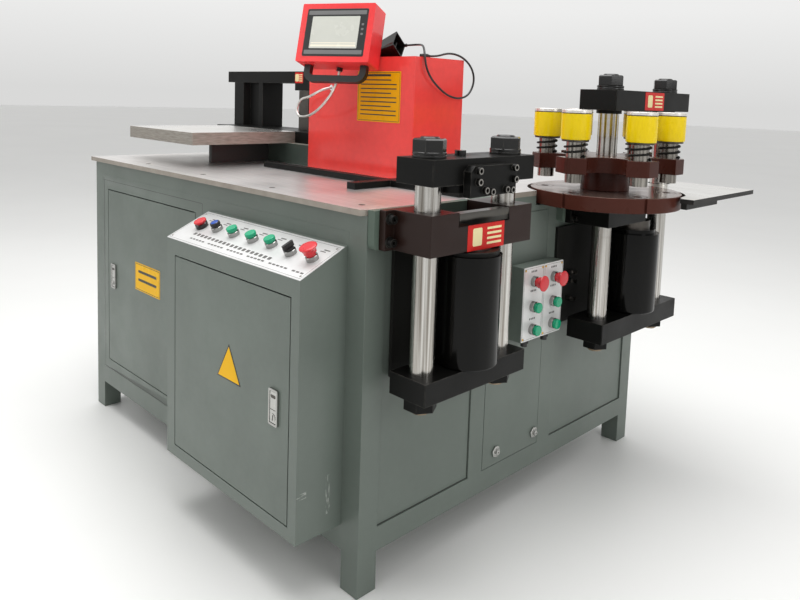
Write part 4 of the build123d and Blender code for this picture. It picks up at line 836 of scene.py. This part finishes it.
# Turret springs: black wire coil, dark washer and yellow urethane, one set at each station
STATION_RADIUS = 0.158
SPRING_FOOT = 0.944
WIRE_RADIUS, COIL_RADIUS = 0.0028, 0.0256
COIL_LOW, COIL_HEIGHT = 0.9470, 0.0345
COIL_TURNS, COIL_STEPS = 2.4, 84
PAD = [(23.2, 45), (34.5, 45), (36.6, 46), (37.4, 49), (37.5, 77), (37.4, 106), (37.3, 109.5),
       (37.2, 110.2), (23.2, 110.2)]
WASHER = [(23.2, 40.4), (33.2, 40.4), (34.0, 41.0), (34.0, 44.4), (33.4, 44.95), (23.2, 44.95)]


def coil_point(foot, k):
    """A point of the wire, k steps up from its lower end."""
    a = 2 * math.pi * COIL_TURNS * k / COIL_STEPS
    return foot + Vector((COIL_RADIUS * math.cos(a), COIL_RADIUS * math.sin(a),
                          COIL_LOW + COIL_HEIGHT * k / COIL_STEPS))


for number in range(1, 7):
    angle = math.radians(30 + 60 * number)
    foot = Vector((TURRET.x + STATION_RADIUS * math.cos(angle),
                   TURRET.y + STATION_RADIUS * math.sin(angle), 0.0))
    anchor = foot + Z * SPRING_FOOT
    wire = [coil_point(foot, k) for k in range(COIL_STEPS + 1)]
    coil = add_piece(f"coil_{number}", tube_mesh(f"coil_{number}", wire, WIRE_RADIUS, 8),
                     black_satin, "turret", split=False)
    pad = lathe(f"urethane_{number}", anchor, Z, PAD, urethane, "turret", 48, True)
    washer = lathe(f"spring_washer_{number}", anchor, Z, WASHER, dark_steel, "turret",
                   40, True)
    for soft in (coil, pad, washer):
        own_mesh(soft)
    if number == 1:
        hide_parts("turret_springs")


# Bright steel rims on the blade's black socket screws, a painted highlight for the glints on their
# edges, and nipples on the back plate's fittings
for k, (y, z) in enumerate(((154, 938), (154, 915), (176, 897), (196, 893), (245, 895),
                            (264, 893), (273, 940), (274, 915)), start=1):
    lathe(f"blade_screw_highlight_rim_{k}", at(168, y, z), X,
          [(4.7, 0.02), (7.0, 0.02), (7.0, 0.5), (6.0, 0.7), (4.7, 0.5)],
          dull_steel, "shear_press", 24, True)
for k, z in enumerate((540, 590, 615), start=1):
    lathe(f"hose_nipple_{k}", at(22, 753, z), X,
          [(0, 0.02), (6, 0.02), (6.2, 3), (4.6, 4), (4.4, 11), (5.2, 11.4), (5.2, 14),
           (3, 14.6), (0, 14.6)],
          dark_steel, "machine", 20)
# Rings and key barrels of the cam locks
for node in ("cam_lock_1", "cam_lock_2"):
    box = [Vector(place) for place in nodes[node].bound_box]
    centre = sum(box, Vector()) / 8
    centre.x = max(place.x for place in box)
    lathe(node + "_ring", centre, X,
          [(11.3, -4.9), (15.6, -4.9), (16.0, -4.2), (15.6, -0.8), (13.0, 0.2), (11.3, 0.0)],
          latch_chrome, node, 6, True)
    lathe(node + "_key", centre, X,
          [(0, 0.02), (6.4, 0.02), (6.6, 5.6), (5.8, 6.4), (2.2, 6.4), (2.0, 5.0), (0, 5.0)],
          latch_chrome, node, 28)
# Key discs and dark slots of the two latches
LATCH_PROUD = 3.9
for node, x, face_y, z in (("tool_latch", -1215.5, 0, 470),
                           ("electric_latch", -139.5, BOX_FACE, 421)):
    lathe(node + "_key", at(x, face_y - LATCH_PROUD, z - 22), -Y,
          [(0, 0), (8.6, 0), (8.6, 0.9), (7.4, 1.1), (6.2, 0.5), (0, 0.5)],
          latch_chrome, node, 28)
    slabs(node + "_slots", at(x, face_y - LATCH_PROUD, z), FRONT_FACE,
          [(rectangle(-8, 8, 20, 27, 2), 0.0, 0.3), (rectangle(-1.2, 1.2, -28, -17, 0.8), 0.55, 0.2),
           (rectangle(-9, 9, -6, -4.6), 0.0, 0.25)], dark_steel, node)

# Labels: plain plates with generic shapes
TOOL_LABEL = at(-1063, 0, 460)
slabs("tool_label", TOOL_LABEL, FRONT_FACE, [(rectangle(0, 163, 0, 86, 3), 0.02, 0.5)],
      yellow_label, "tool_door")
marks = [(rectangle(22, 141, 30 + 26 * k, 38 + 26 * k, 2), 0.5, 0.12) for k in range(2)]
slabs("tool_label_marks", TOOL_LABEL, FRONT_FACE, marks, ink, "tool_door")
slabs("tool_label_border", TOOL_LABEL, FRONT_FACE, border(3, 160, 3, 83, 1.6, 0.5, 0.12),
      ink, "tool_door")
TRIANGLE = at(-320, BOX_FACE, 423)
slabs("triangle_edge", TRIANGLE, FRONT_FACE, [([(-50, 0), (50, 0), (0, 86)], 0.02, 0.4)],
      ink, "electric_door", 0.2)
slabs("triangle_label", TRIANGLE, FRONT_FACE,
      [([(-44.6, 3.2), (44.6, 3.2), (0, 79.9)], 0.42, 0.2)], yellow_label, "electric_door")


def red_sticker(name, origin, axes, width, height, body):
    """A plain red plate with a light panel and bars."""
    slabs(name, origin, axes, [(rectangle(0, width, 0, height, 2), 0.02, 0.4)],
          red_label, body)
    bars = [(rectangle(width * 0.52, width * 0.92, height * (0.16 + 0.19 * k),
                       height * (0.25 + 0.19 * k), 1), 0.42, 0.1) for k in range(4)]
    mid_u, mid_v, half = width * 0.26, height / 2, height * 0.34
    bars.append((rectangle(mid_u - half * 0.8, mid_u + half * 0.8, mid_v - half, mid_v + half, 4),
                 0.42, 0.1))
    slabs(name + "_bars", origin, axes, bars, cream, body)


red_sticker("shear_sticker", at(140.7, 152, 768), SIDE_FACE, 122, 56, "machine")
red_sticker("punch_sticker", at(142, 876, 1067), SIDE_FACE, 110, 49, "punch_press")
red_sticker("bender_sticker", at(-999, 550, 1117.5), FRONT_FACE, 46, 37, "machine")
GUIDE_SHEET = at(-541, 440, 1008)
slabs("guide_sheet", GUIDE_SHEET, FRONT_FACE, [(rectangle(0, 180, 0, 144, 2), 0.02, 0.5)],
      sheet_yellow, "machine")
rows = []
for k in range(9):
    width = 150 if k % 3 else 128
    rows.append((rectangle(14, 14 + width, 118 - 12.4 * k, 121.2 - 12.4 * k), 0.5, 0.08))
rows.append((rectangle(40, 140, 130, 136), 0.5, 0.08))
rows += border(3, 177, 3, 141, 1.2, 0.5, 0.08)
slabs("guide_sheet_rows", GUIDE_SHEET, FRONT_FACE, rows, ink, "machine")

# Screen glass, its light fields, bezel bands and marks
SCREEN_FACE = (S_RIGHT, S_UP, S_OUT)
screen_pale = paint("screen_pale", (204, 205, 196), 0.22, 0.02, 0.0, 100.0)
screen_light = paint("screen_light", (242, 235, 216), 0.22, 0.02, 0.0, 100.0)
slabs("screen_glass", on_screen(0, 0, 1), SCREEN_FACE, [(rectangle(-76, 72, -47, 47, 2), 0.0, 0.35)],
      screen_pale, "operator_screen")
slabs("screen_fields", on_screen(0, 0, 1.35), SCREEN_FACE,
      [(rectangle(-72, 68, -42, -36, 1), 0.0, 0.1), (rectangle(-72, 68, -33, -30, 1), 0.0, 0.1)],
      screen_light, "operator_screen")
band_grey = paint("band_grey", (112, 112, 112), 0.3, 0.03, 0.02, 100.0)
slabs("bezel_bands", on_screen(0, 0, 1.02), SCREEN_FACE,
      [(rectangle(-90, 90, 52, 64, 2), 0.0, 0.3), (rectangle(-90, 90, -64, -52, 2), 0.0, 0.3)]
      + [(rectangle(79, 86, 20 - 14 * k, 26 - 14 * k, 1), 0.0, 0.35) for k in range(3)],
      band_grey, "operator_screen")

# Console: legend strips over the buttons, rows of marks, a border line
CONSOLE_FACE = (X, C_UP, C_OUT)
SPOTS = ((-548, 68), (-481, 72), (-404, 71), (-324, 71), (-250, 72), (-170, 65), (-95, 66))
STRIP = 0.12
legend = []
for u, w in SPOTS:
    legend.append((rectangle(u - 4, u + 16, 101, 104.4, 1), 0.0, STRIP))
    legend.append((rectangle(u - 10, u + 8, 95, 97.6, 1), 0.0, STRIP))
for k in range(20):
    u = -540 + 17.2 * k
    legend.append((rectangle(u, u + 11, 33.5 - 0.3 * k, 43 - 0.3 * k, 2), 0.0, STRIP))
for k in range(34):
    u = -544 + 14 * k
    if k % 6:
        legend.append((rectangle(u, u + 10, 17.5, 22, 1), 0.0, STRIP))
legend += border(-609, -64, 4, 121.8, 0.8, 0.0, 0.1)
legend_grey = paint("legend_grey", (92, 90, 88), 0.4, 0.04, 0.02, 300.0)
slabs("console_marks", on_console(0, 0), CONSOLE_FACE, legend, legend_grey, "machine")


def console_lathe(name, spot, profile, look, body):
    return lathe(name, on_console(*spot, 0), C_OUT, profile, look, body, 40)


# The red button's black base and the blue button's lens
console_lathe("stop_base", SPOTS[0],
              [(14.1, 1.6), (15.6, 1.6), (16.0, 2.4), (15.8, 11.8), (15.0, 12.4), (14.1, 12.4)],
              ring_look, "machine")
console_lathe("blue_lens", SPOTS[1], [(9.6, 23.9), (9.6, 24.5), (8.4, 25.1), (4.5, 25.5), (0, 25.6)],
              blue_plastic, "blue_button")
# Emergency stops: a trumpet that flares from its neck to a shallow dome
MUSHROOM = [(0, 5.9), (10.8, 5.9), (10.8, 18.9), (14.4, 19.2), (14.7, 22.5), (15.6, 26.5),
            (17.4, 29.6), (19.5, 31.6), (20.0, 32.6), (19.8, 33.8), (18.6, 34.9), (15.5, 35.5),
            (8.0, 35.9), (0, 36.0)]
HAND_STOPS_Y = (530.5, 618.5)
for node, origin, axis in (("emergency_stop", on_console(*SPOTS[-1], 0), C_OUT),
                           ("hand_stop_1", at(48, HAND_STOPS_Y[0], 628.5), X),
                           ("hand_stop_2", at(48, HAND_STOPS_Y[1], 628.5), X)):
    mushroom = lathe(node + "_cap", origin, axis, MUSHROOM, red_plastic, node, 48)
    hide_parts(node)
# Gland collar on top of the shearing barrel
lathe("shear_gland", at(103, 207, 755), Z,
      [(45.6, 0), (63, 0), (64, 1), (64, 9), (62.5, 10.5), (45.6, 10.5)],
      black_satin, "shear_press", 48, True)


def screw_head(name, place, axis, radius, look):
    """A small domed head with a dimple."""
    shares = ((1, 0), (1, 0.25), (0.8, 0.5), (0.45, 0.62), (0.40, 0.45), (0, 0.42))
    lathe(name, place, axis, [(radius * r, radius * h) for r, h in shares],
          look, "machine", 16)


# Screws at the console's corners, then borders and screws of the hand box's two plates
CONSOLE_CORNERS = ((-603, 11), (-70, 11), (-603, 115), (-70, 115))
for number, (u, w) in enumerate(CONSOLE_CORNERS, start=1):
    screw_head(f"console_screw_{number}", on_console(u, w), C_OUT, 2.6, dull_steel)
HAND_PLATE_X = 49.5
number = len(CONSOLE_CORNERS)
for plate, near_y in enumerate((487, 574.5), start=1):
    slabs(f"hand_border_{plate}", at(HAND_PLATE_X, 0, 0), SIDE_FACE,
          border(near_y + 3, near_y + 84.5, 479.5, 663.5, 0.8, 0.0, 0.1),
          legend_grey, "machine")
    for y in (near_y + 7, near_y + 80.5):
        for z in (483, 660):
            number += 1
            screw_head(f"hand_screw_{number}", at(HAND_PLATE_X, y, z), X, 3.2, brass)
hand_marks = []
for y in HAND_STOPS_Y:
    for z in (652, 602, 529):
        hand_marks += [(rectangle(y - 12 + 6.6 * k, y - 8 + 6.6 * k, z, z + 5, 1), 0.0, STRIP)
                       for k in range(4)]
slabs("hand_marks", at(HAND_PLATE_X, 0, 0), SIDE_FACE, hand_marks, ink, "machine")

# The edge of the tool door's frame plate, as thin dark lines of painted shade
frame_edge_shade = [(rectangle(*line), 0.02, 0.1) for line in (
    (-1290, -658, 148.4, 149.4), (-1290, -658, 778.6, 779.6),
    (-1290.6, -1289.6, 149, 779), (-658.4, -657.4, 149, 779))]
slabs("frame_edge_shade", at(0, 0, 0), FRONT_FACE, frame_edge_shade, ink, "machine")

# Thin dark lines of painted shade where the two sunk station panels meet the frame
PANEL_SUNK = 4
LEG, BOTTOM_RAIL_TOP, TOP_RAIL = 55, 145, 40
FIRST_POST, SECOND_POST = 361, 715
frame_box = [place - at(0, 0, 0) for place in map(Vector, nodes["cabinet_frame"].bound_box)]
far_side = max(place.y for place in frame_box) * 1000
panel_top = min(place[2] for place in nodes["table_top"].bound_box) * 1000 - TOP_RAIL
panel_recess_shade = []
for near, far in ((LEG, FIRST_POST), (SECOND_POST, far_side - LEG)):
    for line in ((near, far, BOTTOM_RAIL_TOP, BOTTOM_RAIL_TOP + 1.6),
                 (near, far, panel_top - 1.4, panel_top),
                 (near, near + 1.4, BOTTOM_RAIL_TOP, panel_top),
                 (far - 1.8, far, BOTTOM_RAIL_TOP, panel_top)):
        panel_recess_shade.append((rectangle(*line), 0.02, 0.1))
slabs("panel_recess_shade", at(-PANEL_SUNK, 0, 0), SIDE_FACE, panel_recess_shade, ink, "machine")

# Floor, world and lamps
FLOOR_HALF = 40
floor_look = Look("floor", rough=0.45)
floor_look.colour(floor_look.cloudy((240, 240, 238), 0.01, 0.6, 4.0))
bm = bmesh.new()
bmesh.ops.create_grid(bm, x_segments=2, y_segments=2, size=FLOOR_HALF)
floor_mesh = to_mesh(bm, "floor")
floor = bpy.data.objects.new("floor", floor_mesh)
floor.location = (0, 0, -0.0005)
floor_mesh.materials.append(floor_look.mat)
scene.collection.objects.link(floor)

world = bpy.data.worlds.new("studio")
scene.world = world
world.use_nodes = True
sky = world.node_tree
shade = sky.nodes["Background"]
shade.inputs["Strength"].default_value = 0.62
facts = sky.nodes.new("ShaderNodeTexCoord")
parts = sky.nodes.new("ShaderNodeSeparateXYZ")
sky.links.new(facts.outputs["Generated"], parts.inputs[0])
remap = sky.nodes.new("ShaderNodeMapRange")
remap.inputs["From Min"].default_value = -1
sky.links.new(parts.outputs[2], remap.inputs["Value"])


def height_ramp(low, high):
    """Greys by height in the sky. Each end is (position, colour)."""
    made = sky.nodes.new("ShaderNodeValToRGB")
    for stop, (position, colour) in zip(made.color_ramp.elements, (low, high)):
        stop.position = position
        stop.color = (*colour, 1)
    sky.links.new(remap.outputs["Result"], made.inputs["Fac"])
    return made.outputs["Color"]


# The sky that lights the scene, and the brighter haze that the camera and reflections see
light = height_ramp((0.42, (0.55, 0.55, 0.55)), (0.75, (1, 1, 1)))
haze = height_ramp((0.5, (1.12, 1.12, 1.11)), (0.56, (1.38, 1.38, 1.37)))
paths = sky.nodes.new("ShaderNodeLightPath")
seen = paths.outputs["Is Camera Ray"]
for kind in ("Is Glossy Ray", "Is Transmission Ray"):
    either_ray = sky.nodes.new("ShaderNodeMath")
    either_ray.operation = "MAXIMUM"
    sky.links.new(seen, either_ray.inputs[0])
    sky.links.new(paths.outputs[kind], either_ray.inputs[1])
    seen = either_ray.outputs[0]
swap = sky.nodes.new("ShaderNodeMix")
swap.data_type = "RGBA"
sky.links.new(seen, swap.inputs["Factor"])
sky.links.new(light, swap.inputs[COLOUR_A])
sky.links.new(haze, swap.inputs[COLOUR_B])
sky.links.new(swap.outputs[COLOUR_OUT], shade.inputs["Color"])


def lamp(name, place, aim, width, height, power):
    data = bpy.data.lights.new(name, "AREA")
    data.shape = "RECTANGLE"
    data.size = width
    data.size_y = height
    data.energy = power
    obj = bpy.data.objects.new(name, data)
    obj.location = place
    obj.rotation_euler = (Vector(aim) - Vector(place)).to_track_quat("-Z", "Y").to_euler()
    scene.collection.objects.link(obj)


# Lamps, in metres and watts
middle = (-0.6, 0.5, 0.6)
lamp("overhead", (-0.5, 0.2, 4.2), middle, 4.0, 3.0, 155)
lamp("left_window", (-2.6, -3.6, 3.0), (-0.5, 0.4, 1.0), 2.6, 2.2, 24)
lamp("right_window", (4.2, 0.6, 2.4), middle, 1.6, 2.4, 30)

scene.view_settings.view_transform = "Standard"
